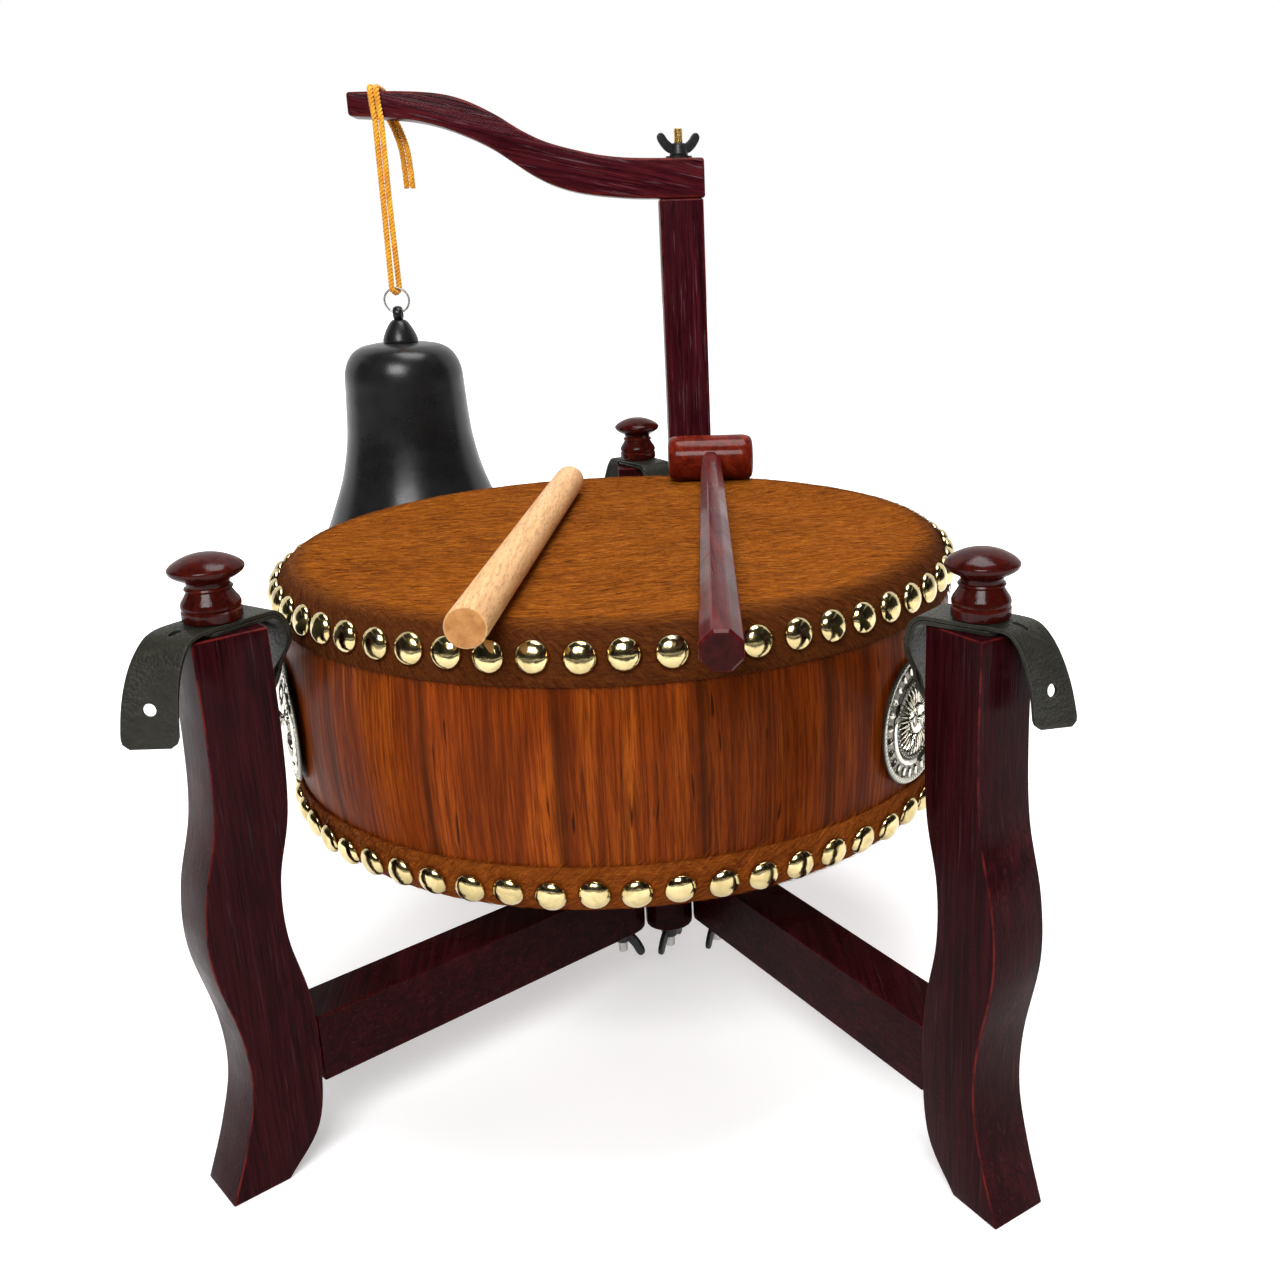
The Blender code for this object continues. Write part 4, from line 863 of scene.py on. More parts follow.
class Tree(Nodes):
    """A geometry node tree with named inputs."""

    def __init__(self, name, **inputs):
        self.tree = bpy.data.node_groups.new(name, "GeometryNodeTree")
        face = self.tree.interface
        face.new_socket("Geometry", in_out="INPUT", socket_type="NodeSocketGeometry")
        for label, kind in inputs.items():
            face.new_socket(label, in_out="INPUT", socket_type="NodeSocket" + kind)
        face.new_socket("Geometry", in_out="OUTPUT", socket_type="NodeSocketGeometry")
        self.given = self.tree.nodes.new("NodeGroupInput").outputs
        self.made = self.tree.nodes.new("NodeGroupOutput").inputs["Geometry"]

    def vector(self, x, y, z):
        return self.node("ShaderNodeCombineXYZ", {"X": x, "Y": y, "Z": z}).outputs["Vector"]

    def random(self, low, high, seed):
        return self.node("FunctionNodeRandomValue", {2: low, 3: high, 8: seed}, data_type="FLOAT").outputs[1]

    def seed(self, number):
        """The given seed moved on, so that every random number has its own."""
        return self.sums("ADD", self.given["Seed"], number)

    def between(self, spread, seed):
        """A random number from -spread to spread."""
        return self.random(self.sums("MULTIPLY", spread, -1.0), spread, seed)

    def seal(self, geometry, finish):
        realized = self.node("GeometryNodeRealizeInstances", {"Geometry": geometry}).outputs["Geometry"]
        painted = self.node("GeometryNodeSetMaterial", {"Geometry": realized, "Material": finish})
        self.give(painted.outputs["Geometry"], self.made)


def grown(tree, base=None, **inputs):
    """The plain mesh that the tree makes from these inputs."""
    obj = linked(bpy.data.objects.new("growing", base or bpy.data.meshes.new("empty")))
    modifier = obj.modifiers.new("Tree", "NODES")
    modifier.node_group = tree.tree
    for item in tree.tree.interface.items_tree:
        if item.in_out == "INPUT" and item.name in inputs:
            modifier[item.identifier] = inputs[item.name]
    graph = bpy.context.evaluated_depsgraph_get()
    mesh = bpy.data.meshes.new_from_object(obj.evaluated_get(graph))
    obj.modifiers.remove(modifier)
    bpy.data.objects.remove(obj)
    return mesh


def ring_of_shapes():
    """Copies of one shape set round Z at a radius and height, each leaning out and jittered a little."""
    tree = Tree(
        "Ring of shapes", Shape="Object", Count="Int", Radius="Float", Height="Float", Start="Float",
        Lean="Float", Jitter="Float", Roll="Float", Seed="Int", Finish="Material",
    )
    given = tree.given
    index = tree.node("GeometryNodeInputIndex").outputs["Index"]
    angle = tree.sums("MULTIPLY", tree.sums("DIVIDE", index, given["Count"]), 2 * math.pi)
    angle = tree.sums("ADD", angle, given["Start"])
    angle = tree.sums("ADD", angle, tree.between(given["Jitter"], given["Seed"]))
    height = tree.sums("ADD", given["Height"], tree.between(
        tree.sums("MULTIPLY", given["Jitter"], given["Radius"]), tree.seed(1.0)))
    x = tree.sums("MULTIPLY", tree.sums("COSINE", angle), given["Radius"])
    y = tree.sums("MULTIPLY", tree.sums("SINE", angle), given["Radius"])
    points = tree.node("GeometryNodePoints", {"Count": given["Count"], "Position": tree.vector(x, y, height)})
    shape = tree.node("GeometryNodeObjectInfo", {"Object": given["Shape"]}).outputs["Geometry"]
    lean = tree.sums("ADD", given["Lean"], tree.between(given["Roll"], tree.seed(2.0)))
    roll = tree.between(given["Roll"], tree.seed(3.0))
    placed = tree.node("GeometryNodeInstanceOnPoints", {
        "Points": points.outputs[0], "Instance": shape,
        "Rotation": tree.vector(0.0, lean, tree.sums("ADD", angle, roll)),
    })
    tree.seal(placed.outputs["Instances"], given["Finish"])
    return tree


def coat_of_hair():
    """Hairs strewn over a surface. Each follows the surface's own flow, lifts a little, and gets a random tone."""
    tree = Tree(
        "Coat of hair", Hair="Object", Density="Float", Stray="Float", Lift="Float", Shortest="Float",
        Longest="Float", Seed="Int", Finish="Material",
    )
    given = tree.given
    strewn = tree.node("GeometryNodeDistributePointsOnFaces", {
        "Mesh": given["Geometry"], "Density": given["Density"], "Seed": given["Seed"],
    })
    flow = tree.node("GeometryNodeInputNamedAttribute", {"Name": "flow"}, data_type="FLOAT_VECTOR").outputs[0]
    lying = tree.node("FunctionNodeAxesToRotation", {
        "Primary Axis": strewn.outputs["Normal"], "Secondary Axis": flow,
    }, primary_axis="Z", secondary_axis="X").outputs[0]
    stray = tree.between(given["Stray"], tree.seed(1.0))
    lift = tree.sums("MULTIPLY", tree.random(0.1, 1.0, tree.seed(2.0)), given["Lift"])
    spin = tree.random(0.0, 3.0, tree.seed(5.0))
    off = tree.vector(spin, tree.sums("MULTIPLY", lift, -1.0), stray)
    turned = tree.node("FunctionNodeRotateRotation", {
        "Rotation": lying, "Rotate By": off,
    }, rotation_space="LOCAL").outputs[0]
    shape = tree.node("GeometryNodeObjectInfo", {"Object": given["Hair"]}).outputs["Geometry"]
    size = tree.random(given["Shortest"], given["Longest"], tree.seed(3.0))
    placed = tree.node("GeometryNodeInstanceOnPoints", {
        "Points": strewn.outputs["Points"], "Instance": shape, "Rotation": turned,
        "Scale": tree.vector(size, 1.0, 1.0),
    }).outputs["Instances"]
    toned = tree.node("GeometryNodeStoreNamedAttribute", {
        "Geometry": placed, "Name": "hair_tone",
        "Value": tree.random(0.0, 1.0, tree.seed(4.0)),
    }, data_type="FLOAT", domain="INSTANCE").outputs["Geometry"]
    tree.seal(toned, given["Finish"])
    return tree


def pattern(mesh):
    """An object that a tree copies, which is taken away once it has."""
    return linked(bpy.data.objects.new("pattern", mesh))


# Drum


def shell_radius(z):
    """The barrel's outer radius at this height from its middle."""
    return SHELL_RADIUS - SHELL_TAPER * (z / SHELL_HALF_HEIGHT) ** 2


def drum_middle(turned_over=False):
    """The drum's middle, with Z up, or down for its underside."""
    matrix = Matrix.Translation(on_drum(Vector(), DRUM_MIDDLE_Z))
    return matrix @ Matrix.Rotation(math.pi, 4, "X") if turned_over else matrix


def make_shell():
    """A barrel of staves. Each joint is a shallow groove, and the UV map lays every stave out flat, in metres."""
    rng = random.Random(41)
    heights = [SHELL_HALF_HEIGHT * (2 * k / 24 - 1) for k in range(25)]
    end = shell_radius(SHELL_HALF_HEIGHT)
    outer = [(shell_radius(z) if abs(z) < SHELL_BEVEL_Z else end - (abs(z) - SHELL_BEVEL_Z), z) for z in heights]
    inner = [(end - SHELL_WALL, z) for z in heights[::-1]]
    builder = bmesh.new()
    uv = builder.loops.layers.uv.new("staves")
    tone_of = builder.verts.layers.float.new("stave_tone")
    joint_of = builder.verts.layers.float.new("stave_joint")
    tones = [rng.random() for _ in range(STAVES)]
    slides = [(rng.random() * 3.0, rng.random() * 3.0) for _ in range(STAVES)]
    width = 2 * math.pi * SHELL_RADIUS / STAVES
    for stave in range(STAVES):
        columns = []
        for k in range(STAVE_FACES + 1):
            at_joint = k in (0, STAVE_FACES)
            share = k / STAVE_FACES
            angle = 2 * math.pi * (stave + share) / STAVES
            column = []
            for index, (radius, z) in enumerate(outer + inner):
                dip = STAVE_GROOVE if at_joint and index < len(outer) else 0.0
                vert = builder.verts.new(((radius - dip) * math.cos(angle), (radius - dip) * math.sin(angle), z))
                vert[tone_of] = tones[stave]
                vert[joint_of] = 1.0 if at_joint else 0.0
                column.append(vert)
            columns.append((column, share))
        for (near, left), (far, right) in zip(columns, columns[1:]):
            count = len(near)
            for k in range(count):
                n = (k + 1) % count
                face = builder.faces.new((near[k], far[k], far[n], near[n]))
                spots = ((left, near[k]), (right, far[k]), (right, far[n]), (left, near[n]))
                for loop, (share, vert) in zip(face.loops, spots):
                    loop[uv].uv = (share * width + slides[stave][0], vert.co.z + slides[stave][1])
    bmesh.ops.remove_doubles(builder, verts=builder.verts, dist=1e-6)
    mesh = mesh_from(builder, "shell", 40.0)
    piece("staved_shell", mesh, stave_wood(), "drum", "stave_wood", "drum_shell", matrix=drum_middle())


def hide_outline():
    """From the middle of the face, over the fold and down the band, then back up inside."""
    top = SHELL_HALF_HEIGHT + HIDE_GAP + HIDE
    lower = SHELL_HALF_HEIGHT - HIDE_BAND
    end = shell_radius(SHELL_HALF_HEIGHT)
    out = HIDE_GAP + HIDE
    fold = curve([
        (end - 0.0080, top), (end - 0.0038, top - 0.0012), (end - 0.0004, top - 0.0042),
        (shell_radius(0.064) + out, 0.0660),
    ], 5)
    outside = [(r, top) for r in (0.0, 0.03, 0.06, 0.09, 0.12, 0.15, 0.17, 0.18)]
    outside += fold
    outside += [(shell_radius(z) + out, z) for z in (0.062, 0.058, 0.054, 0.050, lower + 0.0008)]
    outside.append((shell_radius(lower) + out - 0.0006, lower))
    inside = [(shell_radius(lower) + HIDE_GAP, lower + 0.0002), (shell_radius(0.060) + HIDE_GAP, 0.0600),
              (end - 0.0060, SHELL_HALF_HEIGHT + HIDE_GAP), (0.0, SHELL_HALF_HEIGHT + HIDE_GAP)]
    return outside + inside


def hair_bed(ring_from):
    """The hide's outer surface from a radius outwards, with the way that the hair flows at each point."""
    outline = hide_outline()
    lower = SHELL_HALF_HEIGHT - HIDE_BAND
    outer = [p for p in outline[: outline.index((0.0, SHELL_HALF_HEIGHT + HIDE_GAP))] if p[1] >= lower + 0.0005]
    outer = [p for p in outer[:-2] if p[0] >= ring_from]
    builder = bmesh.new()
    flow_of = builder.verts.layers.float_vector.new("flow")
    steps = 120
    rings = []
    for radius, z in outer:
        ring = []
        for k in range(steps):
            angle = 2 * math.pi * k / steps
            out = Vector((math.cos(angle), math.sin(angle), 0.0))
            vert = builder.verts.new(out * radius + UP * z)
            sway = 0.35 * math.sin(9.0 * out.x * radius / 0.2 + 5.0 * out.y)
            face_flow = Vector((1.0, sway, 0.0))
            share = min(1.0, max(0.0, (radius - HAIR_TURNS_FROM) / HAIR_TURNS_OVER))
            side = UP.cross(out)
            band_flow = (-UP * 0.9 + side * 0.8 * (1.0 if out.y < 0 else -1.0)).normalized()
            vert[flow_of] = face_flow.lerp(band_flow, share).normalized()
            ring.append(vert)
        rings.append(ring)
    for near, far in zip(rings, rings[1:]):
        for k in range(steps):
            n = (k + 1) % steps
            builder.faces.new((near[k], far[k], far[n], near[n]))
    if ring_from <= 0.0:
        bmesh.ops.remove_doubles(builder, verts=builder.verts, dist=1e-6)
    mesh = bpy.data.meshes.new("hair_bed")
    bmesh.ops.recalc_face_normals(builder, faces=builder.faces)
    builder.to_mesh(mesh)
    builder.free()
    if sum(p.normal.dot(Vector((p.center.x, p.center.y, 0.02))) for p in mesh.polygons) < 0:
        mesh.flip_normals()
    return mesh


def one_hair():
    """A hair along X, three-sided at its root and drawn out to a point."""
    builder = bmesh.new()
    root = [builder.verts.new(p) for p in ((0.0, -0.00012, -0.00006), (0.0, 0.00012, -0.00006), (0.0, 0.0, 0.00014))]
    tip = builder.verts.new((0.0095, 0.0, 0.00008))
    builder.faces.new(root)
    for k in range(3):
        builder.faces.new((root[k], root[(k + 1) % 3], tip))
    return mesh_from(builder, "hair", 60.0)


def make_heads(coat):
    """The two hides and the hair that grows on them. Underneath, hair grows only where it can be seen."""
    hair_pattern = pattern(one_hair())
    top_tones = ((0.082, 0.0175, 0.0040), (0.295, 0.0800, 0.0062), (0.530, 0.1820, 0.0180))
    low_tones = ((0.085, 0.0160, 0.0030), (0.250, 0.0580, 0.0070), (0.430, 0.1250, 0.0160))
    for name, flip, tones, shade, from_radius, density, seed in (
        ("top", False, top_tones, 0.90, 0.0, 270000.0, 7), ("bottom", True, low_tones, 0.0, 0.186, 420000.0, 19),
    ):
        matrix = drum_middle(flip)
        skin = hide_skin(f"hide_{name}", *tones, (130.0, 1500.0, 900.0), shade)
        mesh = lathe(hide_outline(), 174, sharp=40.0)
        piece(f"hide_{name}", mesh, skin, "drum", "haired_hide", f"drum_head_{name}", matrix=matrix)
        bed = hair_bed(from_radius)
        finish = hair(f"hair_{name}", *tones, shade)
        mesh = grown(
            coat, bed, Hair=hair_pattern, Density=density, Stray=0.20, Lift=0.07, Shortest=0.50, Longest=1.20,
            Seed=seed, Finish=finish,
        )
        mesh.shade_smooth()
        piece(f"hair_{name}", mesh, finish, "drum", "haired_hide", f"drum_head_{name}", matrix=matrix)
    bpy.data.objects.remove(hair_pattern)


def stud_shape():
    """A domed stud head along X, with a thin rim turned in to the hide."""
    dome = [(0.0, STUD_HEIGHT)]
    for k in range(1, 6):
        angle = math.pi / 2 * k / 6
        dome.append((STUD_RADIUS * 0.96 * math.sin(angle), STUD_RIM + (STUD_HEIGHT - STUD_RIM) * math.cos(angle)))
    dome += [(STUD_RADIUS, STUD_RIM), (STUD_RADIUS - 0.0003, -STUD_RIM), (0.0, -STUD_RIM)]
    mesh = lathe(dome, 20, sharp=50.0)
    mesh.transform(Matrix.Rotation(math.pi / 2, 4, "Y"))
    return mesh


def make_studs(ring):
    gilt = plated("gilt_studs", (0.70, 0.57, 0.29), (0.34, 0.25, 0.09), 0.11, 230.0, 0.00022)
    shape = pattern(stud_shape())
    slope = -2 * SHELL_TAPER * STUD_Z / SHELL_HALF_HEIGHT**2
    for name, flip, seed in (("top", False, 3), ("bottom", True, 11)):
        mesh = grown(
            ring, Shape=shape, Count=STUDS, Radius=shell_radius(STUD_Z) + HIDE_GAP + HIDE + 0.0010, Height=STUD_Z,
            Start=math.pi / STUDS, Lean=math.atan(slope), Jitter=0.0032, Roll=0.05, Seed=seed, Finish=gilt,
        )
        piece(f"studs_{name}", mesh, gilt, "drum", "gilt_studs", f"stud_row_{name}", matrix=drum_middle(flip))
    bpy.data.objects.remove(shape)


def blob(length, width, height, along=8):
    """A low rounded bead, its length along X, on z = 0."""
    builder = bmesh.new()
    bmesh.ops.create_uvsphere(builder, u_segments=8, v_segments=along, radius=1.0,
                              matrix=Matrix.Rotation(math.pi / 2, 4, "Y"))
    bmesh.ops.transform(builder, matrix=Matrix.Diagonal((length / 2, width / 2, height, 1.0)), verts=builder.verts)
    return mesh_from(builder, "bead", 60.0)


def leaf():
    """One leaf of the plate's border: a pointed blade with a raised rib, its point along X."""
    builder = bmesh.new()
    outline = [(-0.0032, 0.0), (-0.0020, 0.0016), (0.0004, 0.0023), (0.0024, 0.0014), (0.0040, 0.0),
               (0.0024, -0.0014), (0.0004, -0.0023), (-0.0020, -0.0016)]
    rim = [builder.verts.new((x, y, 0.0)) for x, y in outline]
    low = [builder.verts.new((x * 0.8, y * 0.7, 0.0007)) for x, y in outline]
    rib = [builder.verts.new((x, 0.0, 0.0012)) for x in (-0.0020, 0.0004, 0.0026)]
    wall(builder, rim, low)
    for k, spot in enumerate((0, 1, 1, 2, 2, 1, 1, 0)):
        builder.faces.new((low[k], low[(k + 1) % 8], rib[spot]))
    for k, near, far in ((1, 1, 0), (3, 2, 1), (5, 1, 2), (7, 0, 1)):
        builder.faces.new((low[k], rib[near], rib[far]))
    builder.faces.new(rim)
    return mesh_from(builder, "leaf", 25.0)


def plate_chrome():
    """Bright on the plate's ribs and beads and dull and rough in its hollows, where painted shade darkens the colour
    nearly to black, from each point's rise.
    """
    paint = Paint("plate_chrome", metallic=1.0)
    # Painted shade: a low rise, jittered by noise, darkens the colour in the hollows where shade falls.
    painted_shade_jitter = paint.sums("MULTIPLY", paint.noise(paint.place, 500.0, 3.0), 0.16)
    rise = paint.sums("ADD", paint.attribute("rise"), painted_shade_jitter)
    paint.set("Base Color", paint.ramp(
        rise, (0.22, (0.030, 0.028, 0.024)), (0.48, (0.290, 0.275, 0.230)), (0.80, (0.760, 0.735, 0.640))))
    paint.set("Roughness", paint.ramp(rise, (0.25, 0.42), (0.70, 0.11)))
    paint.relief((paint.noise(paint.place, 300.0, 2.0), 0.00008))
    return paint.material


def make_plates(ring):
    """A pressed plate: a fluted rosette round its boss, a ring of beads, a border of leaves and a rolled rim."""
    chrome = plate_chrome()
    dish = [
        (0.0026, 0.0030), (0.0062, 0.0032), (0.0078, 0.0026), (0.0084, 0.0008), (0.0120, 0.0006), (0.0170, 0.0008),
        (0.0196, 0.0010), (0.0206, 0.0006), (0.0228, 0.0006), (0.0238, 0.0018), (0.0250, 0.0025), (0.0262, 0.0018),
        (0.0268, 0.0010), (0.0330, 0.0008), (0.0340, 0.0013), (0.0352, 0.0016), (0.0364, 0.0009), (0.0370, 0.0),
        (0.0026, 0.0),
    ]
    ornament = (
        (pattern(blob(0.0122, 0.0014, 0.0026)), 36, 0.0143, 0.0007, 0.0),
        (pattern(blob(0.0017, 0.0017, 0.0011, 6)), 52, 0.0217, 0.0007, 0.0),
        (pattern(leaf()), 26, 0.0299, 0.0009, 0.0),
        (pattern(blob(0.0014, 0.0014, 0.0008, 5)), 26, 0.0324, 0.0008, math.pi / 26),
        (pattern(blob(0.0018, 0.0015, 0.0007, 5)), 84, 0.0350, 0.0011, 0.0),
    )
    for side in SIDES:
        grown_rings = [
            grown(ring, Shape=shape, Count=count, Radius=radius, Height=height, Start=start, Lean=0.0, Jitter=0.0,
                  Roll=0.0, Seed=1, Finish=chrome)
            for shape, count, radius, height, start in ornament
        ]
        mesh = joined(lathe(dish, 96, closed=True, sharp=50.0), *grown_rings)
        # Each point's height in the plate, which plate_chrome turns into painted shade in the hollows.
        rise = mesh.attributes.new("rise", "FLOAT", "POINT")
        rise.data.foreach_set("value", [vert.co.z / 0.0030 for vert in mesh.vertices])
        out = polar(PLATE_AZIMUTH[side], 1.0)
        piece(f"plate_{side}", mesh, chrome, "drum", "plate_chrome", f"ring_plate_{side}",
              matrix=facing(on_drum(out * PLATE_BACK, PLATE_Z), out, UP))
    for shape, *_ in ornament:
        bpy.data.objects.remove(shape)


def make_pins():
    """A wire bent into an eye, with its two legs through the shell and clenched behind it."""
    chrome = plated("pin_chrome", (0.74, 0.73, 0.69), (0.36, 0.34, 0.30), 0.12, 300.0, 0.00005)
    for side in SIDES:
        out = polar(PLATE_AZIMUTH[side], 1.0)
        across = UP.cross(out)
        eye = rod(loop_line(EYE_RADIUS, 40), EYE_WIRE, 14, closed=True)
        eye.transform(facing(on_drum(out * EYE_REACH, PLATE_Z), across, out))
        inner = shell_radius(SHELL_HALF_HEIGHT) - SHELL_WALL - PIN_CLENCH_GAP
        start = on_drum(out * inner, PLATE_Z)
        neck = on_drum(out * (EYE_REACH - EYE_RADIUS), PLATE_Z)
        shank = rod([start.lerp(neck, k / 8) for k in range(9)], PIN_SHANK, 14, sharp=40.0)
        clenched = [start + UP * PIN_CLENCH_REACH * (k / 6 - 1) for k in range(13)]
        clench = rod(clenched, PIN_CLENCH, 10, sharp=40.0)
        piece(f"pin_{side}", joined(eye, shank, clench), chrome, "drum", "plate_chrome", f"ring_pin_{side}")


def ring_lie(side):
    """(the ring's centre, the way across it, the way up it) as it lies at rest."""
    out = polar(PLATE_AZIMUTH[side], 1.0)
    rise = math.radians(RING_RISE[side])
    along = out * math.cos(rise) + UP * math.sin(rise)
    return on_drum(out * EYE_REACH, PLATE_Z) + along * (RING_RADIUS + RING_SLACK), UP.cross(out), along


def make_rings(steel):
    """A round steel ring with the bead of its weld left on it."""
    for side in SIDES:
        middle, across, along = ring_lie(side)
        builder = bmesh.new()
        sweep(builder, loop_line(RING_RADIUS, 72), RING_WIRE_SEEN, 18, closed=True)
        for vert in builder.verts:
            angle = math.atan2(vert.co.y, vert.co.x) - math.radians(RING_WELD_AT)
            centre = Vector((vert.co.x, vert.co.y, 0.0)).normalized() * RING_RADIUS
            vert.co = centre + (vert.co - centre) * (1.0 + RING_WELD_SWELL * math.exp(-((angle * 14) ** 2)))
        piece(f"ring_{side}", mesh_from(builder, "ring", 60.0), steel, f"{side}_ring", "plain_steel",
              f"drum_ring_{side}", matrix=facing(middle, along.cross(across), along))


# Stand


def leg_place(side):
    return polar(LEG_AZIMUTH[side], LEG_REACH[side])


def hub_bolt_place(side):
    return HUB_MIDDLE + polar(HUB_TURN, HUB_PITCH) * HUB_BOLT_SPOT[side]


def rail_way(side):
    """The direction of a rail, from its middle bolt to its leg."""
    return (leg_place(side) - hub_bolt_place(side)).normalized()


def make_legs():
    wood = lacquered_wood("leg_lacquer")
    outline = []
    for edge in (LEG_OUTSIDE, LEG_INSIDE):
        outline += curve([(reach, share * LEG_HEIGHT) for reach, share in edge], 7)
    for side in SIDES:
        way = rail_way(side)
        matrix = Matrix((way, UP, way.cross(UP))).transposed().to_4x4()
        matrix.translation = on_drum(leg_place(side), 0.0)
        mesh = board(outline, LEG_WIDTH, LEG_EDGE, 4, matrix)
        piece(f"stand_leg_{side}", mesh, wood, f"{side}_leg", "dark_lacquer", f"leg_{side}")


def make_rails():
    """The rails and the middle plate keep their CAD shape, and get wood that runs their way."""
    for side in SIDES:
        way = rail_way(side)
        turn = (math.pi / 2, 0.0, math.pi / 2 - math.atan2(way.y, way.x))
        wood = lacquered_wood(f"rail_lacquer_{side}", turn)
        repaint(wood, f"rail_{side}")
    repaint(lacquered_wood("hub_lacquer", (0.0, math.pi / 2, 0.0)), "hub_plate")


def threaded(radius, bottom, top, pitch=0.0010):
    """A bolt's end with its thread cut round it."""
    outline = [(0.0, top), (radius - 0.0008, top)]
    z = top - 0.0005
    while z > bottom + pitch:
        outline += [(radius, z), (radius - 0.0005, z - pitch / 2)]
        z -= pitch
    outline += [(radius - 0.0004, bottom), (0.0, bottom)]
    return lathe(outline, 24, sharp=25.0)


def wing_nut(bolt):
    """Seated on z = 0, with two ears rising from a coned boss."""
    body = rounded([
        (bolt + 0.0001, 0.0088), (bolt + 0.0018, 0.0088), (bolt + 0.0024, 0.0070), (bolt + 0.0034, 0.0016),
        (bolt + 0.0034, 0.0), (bolt + 0.0001, 0.0),
    ], 0.0005, 3)
    ear = curve([
        (0.0040, 0.0010), (0.0090, 0.0026), (0.0130, 0.0062), (0.0160, 0.0108), (0.0163, 0.0142),
        (0.0140, 0.0162), (0.0112, 0.0152), (0.0082, 0.0112), (0.0040, 0.0078),
    ], 4)
    shapes = [lathe(body, 32, closed=True, sharp=35.0)]
    for turn in (0.0, math.pi):
        stand = Matrix.Rotation(turn, 4, "Z") @ Matrix.Rotation(math.pi / 2, 4, "X")
        shapes.append(board(ear, WING_THICKNESS, 0.0009, 3, stand))
    return joined(*shapes)


def make_fittings():
    """Bolts, washers, nuts and wing nuts. Gives back the steel, which the rings share."""
    black = black_metal("black_steel")
    steel = plated("plain_steel", (0.52, 0.51, 0.49), (0.26, 0.25, 0.23), 0.26, 500.0, 0.00003)
    brass = plated("arm_stud_brass", (0.72, 0.55, 0.24), (0.34, 0.23, 0.08), 0.24, 500.0, 0.00003)
    for side in SIDES:
        spot = on_drum(hub_bolt_place(side), HUB_NUT_TOP)
        turn = Matrix.Translation(spot) @ Matrix.Rotation(math.pi, 4, "X")
        turn = turn @ Matrix.Rotation(math.radians(HUB_NUT_SPIN[side]), 4, "Z")
        piece(f"hub_nut_{side}", wing_nut(HUB_BOLT), black, f"{side}_hub_nut", "black_steel", f"hub_wing_nut_{side}",
              matrix=turn)
        repaint(black, f"hub_washer_{side}")
        repaint(steel, f"hub_bolt_{side}", f"knob_stud_{side}")
    repaint(steel, "post_bolt_upper", "post_bolt_lower", "post_nut_upper", "post_nut_lower")
    repaint(black, "arm_washer", "crown_nut")
    post = on_drum(POST_PLACE, 0.0)
    low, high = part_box("arm_stud")
    piece("arm_bolt", threaded(ARM_BOLT, low.z, high.z), brass, "back_leg", "arm_stud_brass", "arm_stud",
          matrix=Matrix.Translation(post))
    seat = Matrix.Translation(post + UP * ARM_NUT_SEAT) @ Matrix.Rotation(math.radians(ARM_NUT_SPIN), 4, "Z")
    piece("arm_nut", wing_nut(ARM_BOLT), black, "arm_nut", "black_steel", "arm_wing_nut", matrix=seat)
    return steel


def make_knobs():
    """A turned mushroom knob over a beaded collar."""
    wood = lacquered_wood(
        "knob_lacquer", dark=(0.013, 0.0016, 0.0013), body=(0.040, 0.0038, 0.0026), light=(0.100, 0.0100, 0.0050),
        worn=(0.170, 0.0200, 0.0090), grain=0.6, gloss=0.26, pale_pores_and_sheen=0.0,
    )
    cap = curve([
        (0.0, 0.0322), (0.0050, 0.0319), (0.0100, 0.0305), (0.0145, 0.0282), (0.0168, 0.0262), (0.0172, 0.0248),
        (0.0162, 0.0229), (0.0134, 0.0210), (0.0106, 0.0196), (0.0097, 0.0181),
    ], 4)
    outline = [(max(0.0, radius), z) for radius, z in cap]
    outline += [(0.0097, 0.0168), (0.0107, 0.0165), (0.0111, 0.0158), (0.0107, 0.0151), (0.0101, 0.0148)]
    outline += [(0.0107, 0.0136), (0.0119, 0.0116), (0.0131, 0.0098), (0.0137, 0.0082), (0.0136, 0.0068),
                (0.0130, 0.0061), (0.0131, 0.0056), (0.0138, 0.0050), (0.0138, 0.0014), (0.0132, 0.0003)]
    outline += [(KNOB_BORE, 0.0), (KNOB_BORE, KNOB_BORE_DEPTH), (0.0, KNOB_BORE_DEPTH)]
    for side in SIDES:
        piece(f"turned_knob_{side}", lathe(outline, 56, sharp=35.0), wood, f"{side}_knob", "red_lacquer",
              f"knob_{side}", matrix=Matrix.Translation(on_drum(leg_place(side), KNOB_BASE)))


# Straps


def ring_hold(side, pulled_from):
    """(the ring's centre, the way it is pulled, the run of its wire there)"""
    centre, across, along = ring_lie(side)
    reach = pulled_from - centre
    pull = (across * reach.dot(across) + along * reach.dot(along)).normalized()
    return centre, pull, along.cross(across).cross(pull)


